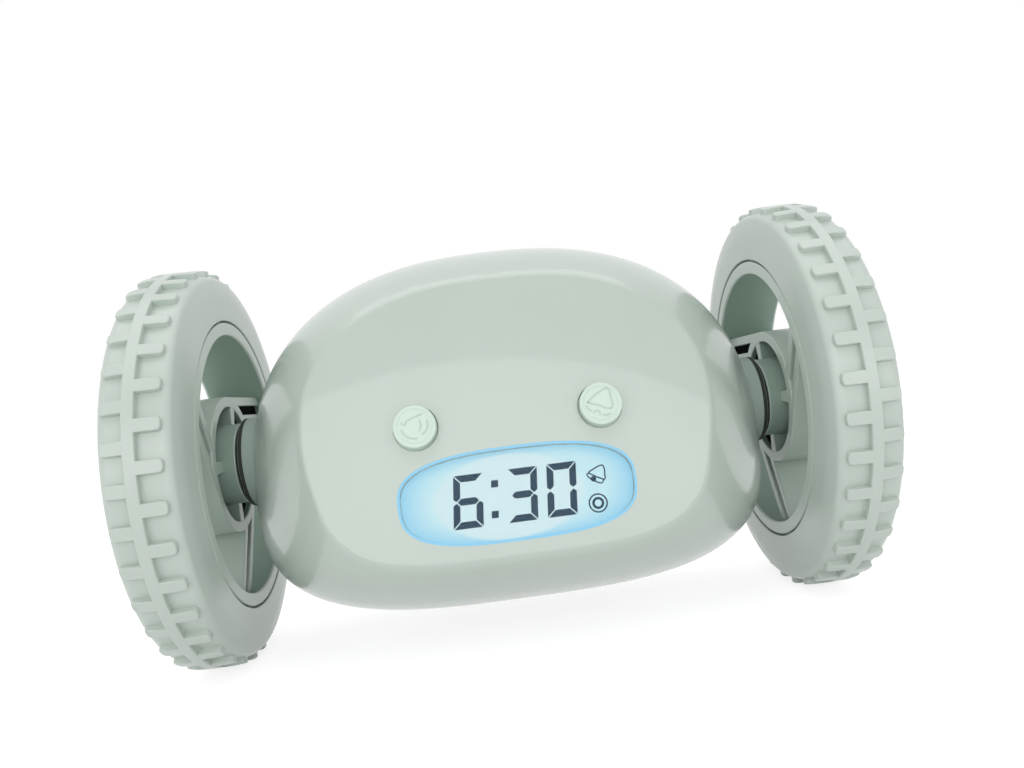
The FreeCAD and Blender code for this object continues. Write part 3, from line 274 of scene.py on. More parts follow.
def smoothed_bulges(piece):
    """Bake the piece's normals, with the true direction of the ball on its bulged faces."""
    mesh = evaluated_mesh(piece)
    piece.modifiers.clear()
    piece.data = mesh
    directions = [corner.vector.copy() for corner in mesh.corner_normals]
    for face in mesh.polygons:
        spots = [mesh.vertices[index].co for index in face.vertices]
        for centre, radius in (FACE_BULGE, REAR_BULGE):
            outward = (face.center - centre).normalized()
            on_ball = all(abs((spot - centre).length - radius) < ON_BALL for spot in spots)
            if on_ball and outward.dot(face.normal) > FACING_OUT:
                for loop, spot in zip(face.loop_indices, spots):
                    directions[loop] = (spot - centre).normalized()
    mesh.normals_split_custom_set(directions)


def resurfaced(node, body, material, sharp=32, second=None, belongs=None):
    """Copy of a solid with its triangles joined and its curved faces smooth, in its place.
    Faces that belong to the second material are told by their middle."""
    form = bmesh.new()
    form.from_mesh(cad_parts[node].data)
    bmesh.ops.remove_doubles(form, verts=form.verts, dist=SAME_SPOT)
    piece = piece_of(form, node + "_surface", material)
    smoothly_shaded(piece, sharp)
    if second:
        piece.data.materials.append(second)
        for face in piece.data.polygons:
            face.material_index = int(belongs(face.center))
    even_normals(piece)
    smoothed_bulges(piece)
    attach(piece, body)
    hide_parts(node)


def on_neck(middle):
    """Whether a face of the shell lies on one of its two round necks."""
    return abs(middle.x) > NECK_START


shell_gloss = tuned(
    plastic("shell_gloss", SHELL_MINT, 0.3, grain=0.05, grain_size=0.0009, cloud=0.012),
    {"Coat Weight": 0.75, "Coat Roughness": 0.05},
)
# The necks and their collars get a darker, matt copy of the shell plastic: the darker colour is
# painted shade for the hollow between body and wheels.
neck_matt_painted_shade = plastic("neck_matt_painted_shade", NECK_SHADED_MINT, 0.4, grain=0.1, cloud=0.02)
for shell in ("front_housing", "rear_housing"):
    resurfaced(shell, "clock_body", shell_gloss, second=neck_matt_painted_shade, belongs=on_neck)
resurfaced("battery_door", "battery_door", shell_gloss)


# ------------------------------------------------------------- display
# A liquid-crystal panel behind a clear lens, lit from its edges by blue-white lamps.
# Digits and two small signs are dark; the light is strongest in the middle of the panel.
PANEL_DEPTH = 2.7
WINDOW_HALF = 23.5
WINDOW_MIDDLE = 9.1
UPPER_HALF = (8.8, 2.75)
LOWER_HALF = (9.5, 3.05)


def panel_light():
    """Glow of the panel: a pale oval, cyan round it and deeper blue along the window."""
    material = bpy.data.materials.new("panel_light")
    material.use_nodes = True
    nodes, links = material.node_tree.nodes, material.node_tree.links
    shader = nodes["Principled BSDF"]
    shader.inputs["Base Color"].default_value = (0.02, 0.03, 0.035, 1)
    shader.inputs["Roughness"].default_value = 0.35
    shader.inputs["Emission Strength"].default_value = 0.74
    place = nodes.new("ShaderNodeTexCoord").outputs["Object"]

    def distance_from(centre, half, power):
        """How far out a spot of the face lies in a rounded oval: 1 on its edge."""
        mapping = nodes.new("ShaderNodeMapping")
        mapping.vector_type = "TEXTURE"
        mapping.inputs["Location"].default_value = FACE @ (Vector((*centre, -PANEL_DEPTH)) * MM)
        mapping.inputs["Rotation"].default_value = (FACE_TURN, 0, 0)
        mapping.inputs["Scale"].default_value = (half[0] * MM, half[1] * MM, 1)
        split = nodes.new("ShaderNodeSeparateXYZ")
        links.new(place, mapping.inputs["Vector"])
        links.new(mapping.outputs["Vector"], split.inputs["Vector"])
        raised = []
        for part in ("X", "Y"):
            size = nodes.new("ShaderNodeMath")
            size.operation = "ABSOLUTE"
            lift = nodes.new("ShaderNodeMath")
            lift.operation = "POWER"
            lift.inputs[1].default_value = power
            links.new(split.outputs[part], size.inputs[0])
            links.new(size.outputs[0], lift.inputs[0])
            raised.append(lift.outputs[0])
        total = nodes.new("ShaderNodeMath")
        root = nodes.new("ShaderNodeMath")
        root.operation = "POWER"
        root.inputs[1].default_value = 1 / power
        links.new(raised[0], total.inputs[0])
        links.new(raised[1], total.inputs[1])
        links.new(total.outputs[0], root.inputs[0])
        return root.outputs[0]

    rim = colour_ramp(nodes, (0.74, (0.62, 0.93, 1.0)), (1.0, (0.30, 0.74, 1.0)))
    links.new(distance_from((0, WINDOW_MIDDLE), (23.8, 9.3), 2.75), rim.inputs["Fac"])
    oval = colour_ramp(nodes, (0.92, (1, 1, 1)), (1.06, (0, 0, 0)))
    links.new(distance_from((-1.7, 8.6), (15.8, 8.7), 2.0), oval.inputs["Fac"])
    blend = nodes.new("ShaderNodeMix")
    blend.data_type = "RGBA"
    blend.inputs["B"].default_value = (0.74, 0.96, 1.0, 1)
    links.new(oval.outputs["Color"], blend.inputs["Factor"])
    links.new(rim.outputs["Color"], blend.inputs["A"])
    links.new(blend.outputs["Result"], shader.inputs["Emission Color"])
    return material


def dress(node, material):
    """Give a solid of the frame its surface."""
    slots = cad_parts[node].data.materials
    slots.clear()
    slots.append(material)


dress("lcd_panel", panel_light())


def flat_plates(outlines, low, high):
    """Thin plates from flat outlines on the face, from low to high above it."""
    form = bmesh.new()
    for outline in outlines:
        lower = [form.verts.new((x, y, low)) for x, y in outline]
        upper = [form.verts.new((x, y, high)) for x, y in outline]
        form.faces.new(upper)
        form.faces.new(lower[::-1])
        for step in range(len(outline)):
            following = (step + 1) % len(outline)
            form.faces.new((lower[step], lower[following], upper[following], upper[step]))
    bmesh.ops.recalc_face_normals(form, faces=form.faces)
    return form


def face_piece(name, form, material, body):
    """Finish a form drawn in face coordinates as a piece that rides on a body."""
    bmesh.ops.transform(form, matrix=FACE, verts=form.verts)
    piece = piece_of(form, name, material)
    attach(piece, body)
    return piece


DIGIT_WIDTH = 5.95
DIGIT_HEIGHT = 10.6
BAR = 1.37
BAR_GAP = 0.16
SLANT = math.tan(math.radians(5.7))
DIGIT_MIDDLE = 8.6
LIT_BARS = {"6": "afgecd", "3": "abgcd", "0": "abcdef"}
FIGURES = (("6", -9.9), ("3", 0.97), ("0", 8.86))
COLON_DOTS = ((-4.6, 2.8), (-4.6, -3.25))
DOT_HALF = 0.7
INK_LOW = (0.05 - PANEL_DEPTH) * MM
INK_HIGH = (0.12 - PANEL_DEPTH) * MM


def digit_bars(figure, centre):
    """Outlines of the dark bars of one figure, in millimetres on the face."""
    half, tall = DIGIT_WIDTH / 2, DIGIT_HEIGHT / 2
    cap = [
        (-half + BAR_GAP, tall),
        (half - BAR_GAP, tall),
        (half - BAR - BAR_GAP, tall - BAR),
        (-half + BAR + BAR_GAP, tall - BAR),
    ]
    side = [
        (half, tall - BAR_GAP),
        (half, BAR_GAP + BAR * 0.35),
        (half - BAR / 2, BAR_GAP),
        (half - BAR, BAR_GAP + BAR / 2),
        (half - BAR, tall - BAR - BAR_GAP),
    ]
    middle = [
        (-half + BAR / 2 + BAR_GAP, 0),
        (-half + BAR + BAR_GAP, BAR / 2),
        (half - BAR - BAR_GAP, BAR / 2),
        (half - BAR / 2 - BAR_GAP, 0),
        (half - BAR - BAR_GAP, -BAR / 2),
        (-half + BAR + BAR_GAP, -BAR / 2),
    ]
    bars = {
        "a": cap,
        "d": [(x, -y) for x, y in cap],
        "b": side,
        "c": [(x, -y) for x, y in side],
        "f": [(-x, y) for x, y in side],
        "e": [(-x, -y) for x, y in side],
        "g": middle,
    }
    return [[(x + centre, y) for x, y in bars[letter]] for letter in LIT_BARS[figure]]


def slanted(outline):
    """Outline leant to the right and moved up to the line of digits, in metres."""
    return [((x + SLANT * y) * MM, (y + DIGIT_MIDDLE) * MM) for x, y in outline]


bars = []
for figure, centre in FIGURES:
    bars += digit_bars(figure, centre)
for x, y in COLON_DOTS:
    corners = ((-1, -1), (1, -1), (1, 1), (-1, 1))
    bars.append([(x + across * DOT_HALF, y + up * DOT_HALF) for across, up in corners])
ink = tuned(
    plastic("liquid_crystal", (0.018, 0.05, 0.085), 0.8, cloud=0.02),
    {"Specular IOR Level": 0.1},
)
form = flat_plates([slanted(bar) for bar in bars], INK_LOW, INK_HIGH)
face_piece("display_digits", form, ink, "clock_body")


def skinned(form, rings, closed=False):
    """Close a form with faces between neighbouring rings, and caps on an open row of them."""
    count, corners = len(rings), len(rings[0])
    for step in range(count if closed else count - 1):
        here, there = rings[step], rings[(step + 1) % count]
        for corner in range(corners):
            following = (corner + 1) % corners
            form.faces.new((here[corner], here[following], there[following], there[corner]))
    if not closed:
        form.faces.new(rings[0][::-1])
        form.faces.new(rings[-1])
    bmesh.ops.recalc_face_normals(form, faces=form.faces)
    return form


def ribbon(spots, width, low, high, closed=True):
    """Flat band of even width along a line of spots on the face."""
    count = len(spots)
    outer, inner = [], []
    for step, spot in enumerate(spots):
        before = spots[step - 1] if closed or step > 0 else spot
        after = spots[(step + 1) % count] if closed or step < count - 1 else spot
        along = Vector((after[0] - before[0], after[1] - before[1])).normalized()
        across = Vector((-along.y, along.x)) * width / 2
        outer.append((spot[0] + across.x, spot[1] + across.y))
        inner.append((spot[0] - across.x, spot[1] - across.y))
    form = bmesh.new()
    rings = []
    for out, back in zip(outer, inner):
        corners = [(*out, low), (*out, high), (*back, high), (*back, low)]
        rings.append([form.verts.new(corner) for corner in corners])
    return skinned(form, rings, closed)


def merged(forms):
    """One form out of several."""
    whole = bmesh.new()
    for form in forms:
        part = bpy.data.meshes.new("part")
        form.to_mesh(part)
        form.free()
        whole.from_mesh(part)
        bpy.data.meshes.remove(part)
    return whole


def circle_spots(x, y, radius, steps=40):
    """Points of a circle."""
    turns = [2 * math.pi * step / steps for step in range(steps)]
    return [(x + radius * math.cos(turn), y + radius * math.sin(turn)) for turn in turns]


def smooth_spots(corners, steps=5):
    """Points of a closed smooth curve through the corners."""
    spots = []
    count = len(corners)
    for index in range(count):
        nearby = [Vector(corners[(index + shift) % count]) for shift in (-1, 0, 1, 2)]
        before, here, there, after = nearby
        for step in range(steps):
            share = step / steps
            spot = 0.5 * (
                2 * here
                + (there - before) * share
                + (2 * before - 5 * here + 4 * there - after) * share**2
                + (3 * here - before - 3 * there + after) * share**3
            )
            spots.append((spot.x, spot.y))
    return spots


def placed_spots(spots, x, y, size, turn):
    """Spots of a mark, scaled, turned and moved to their place."""
    angle = math.radians(turn)
    across, up = math.cos(angle) * size, math.sin(angle) * size
    return [(x + px * across - py * up, y + px * up + py * across) for px, py in spots]


BELL_DOME = [
    (-2.3, 0.65),
    (-1.5, 1.55),
    (0.1, 2.4),
    (1.5, 2.95),
    (2.25, 2.75),
    (2.65, 1.5),
    (2.55, 0.0),
    (2.2, -1.55),
]
BELL_RIM = [
    (-2.3, 0.65),
    (-3.2, 0.45),
    (-2.9, -0.35),
    (-1.3, -1.7),
    (0.6, -2.6),
    (1.5, -2.75),
    (2.2, -1.55),
]
BELL_CLAPPER = (-1.15, -1.2)
CLAPPER_RADIUS = 0.56 * MM
BELL_STROKE = 0.27 * MM
WHEEL_SIGN = (15.67 * MM, 4.95 * MM)
RINGS_AND_STROKES = ((1.78 * MM, 0.3 * MM), (0.95 * MM, 0.5 * MM))


def bell_lines(place, stroke, low, high):
    """Dome and rim of a bell sign at a place, size and turn."""
    dome = placed_spots(smooth_spots(BELL_DOME), *place)
    rim = placed_spots(BELL_RIM, *place)
    return [ribbon(dome, stroke, low, high), ribbon(rim, stroke, low, high, closed=False)]


bell_place = (16.19 * MM, 10.55 * MM, 0.63 * MM, -3)
clapper = placed_spots([BELL_CLAPPER], *bell_place)[0]
clapper_disc = circle_spots(*clapper, CLAPPER_RADIUS, steps=20)
signs = bell_lines(bell_place, BELL_STROKE, INK_LOW, INK_HIGH)
signs.append(flat_plates([clapper_disc], INK_LOW, INK_HIGH))
for radius, stroke in RINGS_AND_STROKES:
    signs.append(ribbon(circle_spots(*WHEEL_SIGN, radius), stroke, INK_LOW, INK_HIGH))
face_piece("display_signs", merged(signs), ink, "clock_body")

clear = bpy.data.materials.new("clear_lens")
clear.use_nodes = True
tuned(
    clear,
    {
        "Base Color": (0.97, 0.99, 1.0, 1),
        "Roughness": 0.03,
        "IOR": 1.2,
        "Transmission Weight": 1.0,
        "Specular IOR Level": 0.15,
    },
)
resurfaced("display_lens", "clock_body", clear)


def window_spots(draw_in, steps=48):
    """Outline of the window, with its rounder upper and fuller lower half, in millimetres."""
    spots = []
    for step in range(steps * 2):
        angle = math.pi * step / steps
        tall, power = UPPER_HALF if step < steps else LOWER_HALF
        across, up = math.cos(angle), math.sin(angle)
        x = (WINDOW_HALF - draw_in) * math.copysign(abs(across) ** (2 / power), across)
        y = (tall - draw_in) * math.copysign(abs(up) ** (2 / power), up)
        spots.append((x, y + WINDOW_MIDDLE))
    return spots


def laid_on_face(form):
    """Lay a form drawn in millimetres over the ball of the face and turn it to metres."""
    for vertex in form.verts:
        x, y, z = vertex.co
        height = math.sqrt(BULGE_RADIUS**2 - x**2 - (y - BULGE_UP) ** 2)
        vertex.co = Vector((x, y, z - (BULGE_RADIUS - BULGE_RISE) + height)) * MM
    return form


# A blue line round the window under the lens that glows though it is no lamp: painted light for the
# panel's glow seen in the edge of the lens.
LINE_INSET = 0.2
LINE_WIDTH = 0.55
LINE_LOW, LINE_HIGH = -0.15, 0.03
painted_edge_glow = tuned(
    plastic("lens_edge_painted_glow", (0.05, 0.15, 0.22), 0.4, cloud=0.02),
    {"Emission Color": (0.27, 0.58, 0.80, 1), "Emission Strength": 0.74},
)
line = ribbon(window_spots(LINE_INSET), LINE_WIDTH, LINE_LOW, LINE_HIGH)
face_piece("lens_line", laid_on_face(line), painted_edge_glow, "clock_body")
dress("display_frame", plastic("frame_white", (0.80, 0.86, 0.88), 0.5))
dress("light_guide", plastic("light_guide", (0.85, 0.93, 0.97), 0.25))
dress("contact_strips", plastic("strip_rubber", (0.55, 0.54, 0.52), 0.7))
dress("backlight_lamps", plastic("lamp_resin", (0.85, 0.9, 1.0), 0.2))


# ------------------------------------------------------------- face buttons
# Two round caps of the same mint plastic, a shade lighter, each on a stem with a flange
# behind the shell. A raised ring and a raised mark stand on top: a turning arrow on the
# left one, a bell on the right one.
def softened(corners, radius, steps=3):
    """Closed outline with each corner rounded. A corner may bring its own radius."""
    spots = []
    count = len(corners)
    for index, corner in enumerate(corners):
        here = Vector(corner[:2])
        before = Vector(corners[index - 1][:2])
        after = Vector(corners[(index + 1) % count][:2])
        wanted = corner[2] if len(corner) > 2 else radius
        reach = min(wanted, 0.49 * (before - here).length, 0.49 * (after - here).length)
        if reach < 1e-7:
            spots.append((here.x, here.y))
            continue
        start = here + (before - here).normalized() * reach
        end = here + (after - here).normalized() * reach
        for step in range(steps + 1):
            share = step / steps
            spot = start * (1 - share) ** 2 + here * 2 * share * (1 - share) + end * share**2
            spots.append((spot.x, spot.y))
    return spots


def turned(outline, steps=96):
    """Form turned about Z from a closed outline of (radius, height)."""
    form = bmesh.new()
    rings = []
    for step in range(steps):
        angle = 2 * math.pi * step / steps
        across, up = math.cos(angle), math.sin(angle)
        rings.append([form.verts.new((r * across, r * up, z)) for r, z in outline])
    for step in range(steps):
        here, there = rings[step], rings[(step + 1) % steps]
        for spot in range(len(outline)):
            following = (spot + 1) % len(outline)
            form.faces.new((here[spot], there[spot], there[following], here[following]))
    bmesh.ops.remove_doubles(form, verts=form.verts, dist=1e-7)
    bmesh.ops.recalc_face_normals(form, faces=form.faces)
    return form


button_satin = plastic("button_satin", (0.555, 0.665, 0.595), 0.36, grain=0.1, cloud=0.01)
BUTTON_SPOTS = {"wheel_button": (-18.4, 23.8), "alarm_button": (18.4, 23.8)}
CAP_TOP = 3.728
CAP_RADIUS = 4.25
cap_corners = [
    (0, -3.4),
    (2.0, -3.4),
    (2.0, -1.92),
    (5.55, -1.92, 0.2),
    (5.55, -1.32, 0.2),
    (4.44, -1.32),
    (4.44, 1.2, 0.1),
    (CAP_RADIUS, 1.5, 0.1),
    (CAP_RADIUS, CAP_TOP, 0.7),
    (3.6, CAP_TOP, 0.1),
    (3.5, CAP_TOP - 0.1, 0.08),
    (3.3, CAP_TOP - 0.1, 0.08),
    (3.2, CAP_TOP, 0.1),
    (0, CAP_TOP),
]
cap_outline = [(r * MM, z * MM) for r, z in softened(cap_corners, 0.0, steps=4)]
MARK_LOW = (CAP_TOP - 0.1) * MM
MARK_HIGH = (CAP_TOP + 0.05) * MM
MARK_STROKE = 0.38 * MM
MARK_LINES = {
    "wheel_button": [
        [(-2.55, 0.94), (-1.87, 0.51), (-1.36, 1.28), (-0.3, 1.72), (0.51, 1.96), (1.79, 2.33)],
        [(2.55, 1.1), (2.64, 0.0), (2.2, -1.1), (1.36, -1.7)],
        [(1.1, 1.19), (1.3, 0.1), (0.85, -1.02)],
        [(-2.6, -0.3), (-2.3, -1.1), (-1.5, -1.96), (-0.34, -2.43), (0.4, -2.3)],
    ],
    "alarm_button": [
        [(-2.67, 0.46), (-1.9, 1.14), (-0.88, 1.9), (0.14, 2.33), (0.82, 2.8), (1.58, 2.93)],
        [(1.58, 2.93), (2.0, 2.4), (2.1, 0.9), (2.26, -0.48), (1.9, -1.3)],
        [(-2.67, 0.46), (-1.73, 0.12), (-0.37, -0.39), (0.65, -0.99), (1.9, -1.3)],
        [(-3.0, -0.14), (-2.7, -0.8), (-2.07, -1.41)],
        [(-1.73, -1.84), (-1.39, -1.33), (-0.88, -1.33), (-0.5, -1.75), (-0.54, -2.3)],
        [(-0.03, -2.35), (0.9, -2.5), (1.67, -2.2)],
    ],
}
# The marks are a darker mint than the caps: painted shade along the raised lines.
mark_painted_shade = plastic("mark_painted_shade", (0.44, 0.54, 0.485), 0.45, grain=0.1, cloud=0.01)
for button, (across, up) in BUTTON_SPOTS.items():
    strokes = []
    for line in MARK_LINES[button]:
        spots = [(x * MM, y * MM) for x, y in line]
        strokes.append(ribbon(spots, MARK_STROKE, MARK_LOW, MARK_HIGH, closed=False))
    mark = merged(strokes)
    cap = turned(cap_outline, 64)
    for form in (cap, mark):
        bmesh.ops.translate(form, vec=(across * MM, up * MM, 0), verts=form.verts)
    piece = face_piece(button + "_cap", cap, button_satin, button)
    smoothly_shaded(piece, sharp=50)
    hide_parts(button)
    face_piece(button + "_mark", mark, mark_painted_shade, button)


# ------------------------------------------------------------- set buttons
# Four small caps on the back for hour, minute, time and alarm time, each with a small
# raised sign above it: clock dials with a short, a long and both hands, and a bell.
for button in ("hour_button", "minute_button", "time_button", "alarm_set_button"):
    resurfaced(button, button, button_satin)


def laid_on_back(form):
    """Lay a form drawn as seen from behind over the ball of the back."""
    centre, radius = REAR_BULGE
    for vertex in form.verts:
        x, z, lift = -vertex.co.x, vertex.co.y, vertex.co.z
        depth = math.sqrt(radius**2 - x**2 - (z - centre.z) ** 2)
        vertex.co = (x, centre.y + depth + lift, z)
    bmesh.ops.recalc_face_normals(form, faces=form.faces)
    return form


def back_piece(name, form, material, body):
    """Finish a form drawn as seen from behind as a piece that rides on a body."""
    piece = piece_of(laid_on_back(form), name, material)
    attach(piece, body)


SIGN_HEIGHT = 57.9
SIGN_STROKE = 0.26 * MM
SIGN_LOW = -0.3 * MM
SIGN_HIGH = 0.14 * MM
DIAL_RADIUS = 1.55 * MM
HANDS = {24.0: [(0.75, 40)], 16.0: [(1.1, 90)], -16.0: [(0.75, 0), (1.1, 90)]}
signs = []
for across, hands in HANDS.items():
    place = (-across * MM, SIGN_HEIGHT * MM)
    signs.append(ribbon(circle_spots(*place, DIAL_RADIUS), SIGN_STROKE, SIGN_LOW, SIGN_HIGH))
    for length, turn in hands:
        tip = placed_spots([(length, 0)], *place, MM, turn)[0]
        signs.append(ribbon([place, tip], SIGN_STROKE, SIGN_LOW, SIGN_HIGH, closed=False))
bell_place = (24.0 * MM, (SIGN_HEIGHT - 0.2) * MM, 0.55 * MM, 30)
signs += bell_lines(bell_place, SIGN_STROKE, SIGN_LOW, SIGN_HIGH)
back_piece("back_signs", merged(signs), button_satin, "clock_body")


# ------------------------------------------------------------- grip of the battery door
# Four low bars across the upper edge of the door, for a thumb to pull on. They are
# moulded in one with the door, of the same glossy plastic.
GRIP_BARS = 4
GRIP_TOP = 42.6
GRIP_PITCH = 1.5
GRIP_HALF = 5.0
GRIP_STROKE = 0.6 * MM
GRIP_RISE = 0.3 * MM
grip = []
for row in range(GRIP_BARS):
    spots = [(x * MM, (GRIP_TOP - GRIP_PITCH * row) * MM) for x in (-GRIP_HALF, 0, GRIP_HALF)]
    grip.append(ribbon(spots, GRIP_STROKE, -GRIP_RISE, GRIP_RISE, closed=False))
back_piece("door_grip", merged(grip), shell_gloss, "battery_door")


# ------------------------------------------------------------- tyres
# Soft rubber-like tyres pressed over the rims: flat side walls, rounded shoulders, a
# rib round the middle and cross lugs, long ones on the body side and short ones outside.
AXLE_HEIGHT = 44.45
RIB_MIDDLE = 68.26
CROWN = 44.45
SHOULDER = 43.05
LUG_COUNT = 36
LUG_HALF = 1.3
LUG_CORNER = 0.95
ALONG_X = Matrix.Rotation(math.radians(90), 4, "Y")


def slab(outline, low, high, rounding=0.0, foot=0.0, steps=3):
    """Solid with a convex flat outline from low to high, its upper edge rounded and its
    foot flared."""
    count = len(outline)
    outward = []
    for index in range(count):
        before = Vector(outline[index - 1])
        after = Vector(outline[(index + 1) % count])
        along = (after - before).normalized()
        outward.append(Vector((along.y, -along.x)))
    area = 0
    for index, (x, y) in enumerate(outline):
        area += outline[index - 1][0] * y - x * outline[index - 1][1]
    sign = 1 if area > 0 else -1
    levels = [(foot, low)]
    if foot:
        levels += [(foot * 0.3, low + foot * 0.35), (0, low + foot)]
    for step in range(steps + 1):
        angle = math.pi / 2 * step / steps
        levels.append((rounding * (math.cos(angle) - 1), high - rounding * (1 - math.sin(angle))))
    form = bmesh.new()
    rings = []
    for grow, height in levels:
        ring = []
        for (x, y), out in zip(outline, outward):
            ring.append(form.verts.new((x + sign * grow * out.x, y + sign * grow * out.y, height)))
        rings.append(ring)
    return skinned(form, rings)


def turning_tree():
    """Geometry Nodes that repeat a form evenly about the X axis."""
    tree = bpy.data.node_groups.new("repeat_about_axle", "GeometryNodeTree")
    tree.interface.new_socket("Form", in_out="INPUT", socket_type="NodeSocketGeometry")
    tree.interface.new_socket("Count", in_out="INPUT", socket_type="NodeSocketInt")
    tree.interface.new_socket("First turn", in_out="INPUT", socket_type="NodeSocketFloat")
    tree.interface.new_socket("Surface", in_out="INPUT", socket_type="NodeSocketMaterial")
    tree.interface.new_socket("Forms", in_out="OUTPUT", socket_type="NodeSocketGeometry")
    nodes, links = tree.nodes, tree.links
    given = nodes.new("NodeGroupInput")
    points = nodes.new("GeometryNodePoints")
    index = nodes.new("GeometryNodeInputIndex")
    step = nodes.new("ShaderNodeMath")
    step.operation = "DIVIDE"
    step.inputs[0].default_value = 2 * math.pi
    turn = nodes.new("ShaderNodeMath")
    turn.operation = "MULTIPLY_ADD"
    rotation = nodes.new("FunctionNodeAxisAngleToRotation")
    rotation.inputs["Axis"].default_value = (1, 0, 0)
    repeat = nodes.new("GeometryNodeInstanceOnPoints")
    real = nodes.new("GeometryNodeRealizeInstances")
    surface = nodes.new("GeometryNodeSetMaterial")
    result = nodes.new("NodeGroupOutput")
    links.new(given.outputs["Count"], points.inputs["Count"])
    links.new(given.outputs["Count"], step.inputs[1])
    links.new(index.outputs[0], turn.inputs[0])
    links.new(step.outputs[0], turn.inputs[1])
    links.new(given.outputs["First turn"], turn.inputs[2])
    links.new(turn.outputs[0], rotation.inputs["Angle"])
    links.new(points.outputs[0], repeat.inputs["Points"])
    links.new(given.outputs["Form"], repeat.inputs["Instance"])
    links.new(rotation.outputs[0], repeat.inputs["Rotation"])
    links.new(repeat.outputs[0], real.inputs[0])
    links.new(real.outputs[0], surface.inputs["Geometry"])
    links.new(given.outputs["Surface"], surface.inputs["Material"])
    links.new(surface.outputs[0], result.inputs[0])
    return tree


repeat_about_axle = turning_tree()


def about_axle(form, count, first_turn, material):
    """Form repeated about the axle, as a new plain form."""
    single = piece_of(form, "single")
    modifier = single.modifiers.new("repeat", "NODES")
    modifier.node_group = repeat_about_axle
    sockets = repeat_about_axle.interface.items_tree
    keys = {item.name: item.identifier for item in sockets if item.in_out == "INPUT"}
    modifier[keys["Count"]] = count
    modifier[keys["First turn"]] = math.radians(first_turn)
    modifier[keys["Surface"]] = material
    whole = evaluated_mesh(single)
    single.modifiers.clear()
    bpy.data.objects.remove(single)
    result = bmesh.new()
    result.from_mesh(whole)
    bpy.data.meshes.remove(whole)
    return result


def wheel_piece(name, form, side, node, materials, body=""):
    """Finish a form drawn about the right-hand axle, in millimetres, as a piece of one wheel."""
    scale = Matrix.Diagonal((MM if side == "right" else -MM, MM, MM, 1))
    placing = Matrix.Translation((0, 0, AXLE_HEIGHT * MM)) @ scale
    bmesh.ops.transform(form, matrix=placing, verts=form.verts)
    if side == "left":
        bmesh.ops.reverse_faces(form, faces=form.faces)
    piece = piece_of(form, name + "_" + side, *materials)
    smoothly_shaded(piece, sharp=40)
    even_normals(piece)
    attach(piece, body or "wheel_" + side)
    if node:
        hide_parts(node + "_" + side)


def carcass():
    """The tyre without its lugs."""
    corners = [
        (31.62, 62.12),
        (32.8, 62.12),
        (32.8, 60.42, 0.35),
        (39.1, 60.55, 3.0),
        (42.3, 61.3, 1.0),
        (SHOULDER, 62.5, 0.9),
        (SHOULDER, RIB_MIDDLE - 1.3, 0.15),
        (CROWN - 0.01, RIB_MIDDLE - 1.15, 0.3),
        (CROWN - 0.01, RIB_MIDDLE + 1.15, 0.3),
        (SHOULDER, RIB_MIDDLE + 1.3, 0.15),
        (SHOULDER, 73.2, 0.9),
        (42.3, 74.4, 1.0),
        (39.1, 75.1, 3.0),
        (32.8, 75.24, 0.35),
        (32.8, 73.54),
        (31.62, 73.54),
    ]
    form = turned(softened(corners, 0.0, steps=5), 216)
    bmesh.ops.transform(form, matrix=ALONG_X, verts=form.verts)
    return form


LUG_ROWS = {"body": (-1, 4.7, 6.0, 0.5), "outer": (1, 4.3, 1.0, 1.2)}


def lug(way, length, drop):
    """One cross bar on the shoulder at the top of the wheel, a little lower at its free end."""
    root = RIB_MIDDLE + way * 0.9
    end = RIB_MIDDLE + way * (1.1 + length)
    half = 0.5 * (root + end)
    corners = [
        (root, -LUG_HALF, 0),
        (half, -LUG_HALF, 0),
        (end, -LUG_HALF),
        (end, LUG_HALF),
        (half, LUG_HALF, 0),
        (root, LUG_HALF, 0),
    ]
    outline = softened(corners, LUG_CORNER, steps=3)
    form = slab(outline, SHOULDER - 0.12, CROWN - 0.03, rounding=0.28, foot=0.22)
    for vertex in form.verts:
        share = abs(vertex.co.x - root) / abs(end - root)
        vertex.co.z -= drop * max(0.0, share - 0.3) ** 2
    return form


tyre_satin = plastic("tyre_satin", (0.475, 0.54, 0.492), 0.26, grain=0.05, cloud=0.02)
for side in ("left", "right"):
    parts = [carcass()]
    for way, length, first_turn, drop in LUG_ROWS.values():
        parts.append(about_axle(lug(way, length, drop), LUG_COUNT, first_turn, tyre_satin))
    wheel_piece("tread", merged(parts), side, "tyre", [tyre_satin])


# ------------------------------------------------------------- rims
# Moulded wheels: a deep barrel, a ring round the hub, three channel spokes that leave
# the ring at a tangent, and ribs that tie the hub sleeve to it. Near-black sheets of painted
# shade sit in the channels, in the pockets behind the hub and in the sleeve's mouth.
WHEEL_LOW = 60.5
HUB_LOW = 62.9
WEB_LOW = 72.16
WEB_HIGH = 74.16
BARREL_INSIDE = 29.5
RING_INSIDE = 13.2
SPOKE_COUNT = 3
RIB_OUTLINE = [(-1.15, 8.8), (1.15, 8.8), (1.5, 14.0), (-1.5, 14.0)]
RIB_TURNS = (-14.0, 90.0, 183.0, 270.0)
SHADE_SHEET_LOW = HUB_LOW + 1.3
SHADE_SHEET_HIGH = HUB_LOW + 2.3


def about_x(corners, steps):
    """Form turned about the axle from a closed outline of (radius, distance along the axle)."""
    form = turned(softened(corners, 0.0, steps=4), steps)
    bmesh.ops.transform(form, matrix=ALONG_X, verts=form.verts)
    return form


def edgewise(corners, x_low, x_high, rounding=0.3):
    """Bar with a (y, z) outline that runs along X; its edge towards the body is rounded."""
    form = slab(corners, -x_high, -x_low, rounding=rounding)
    turn = Matrix(((0, 0, -1, 0), (1, 0, 0, 0), (0, 1, 0, 0), (0, 0, 0, 1)))
    bmesh.ops.transform(form, matrix=turn, verts=form.verts)
    bmesh.ops.recalc_face_normals(form, faces=form.faces)
    return form


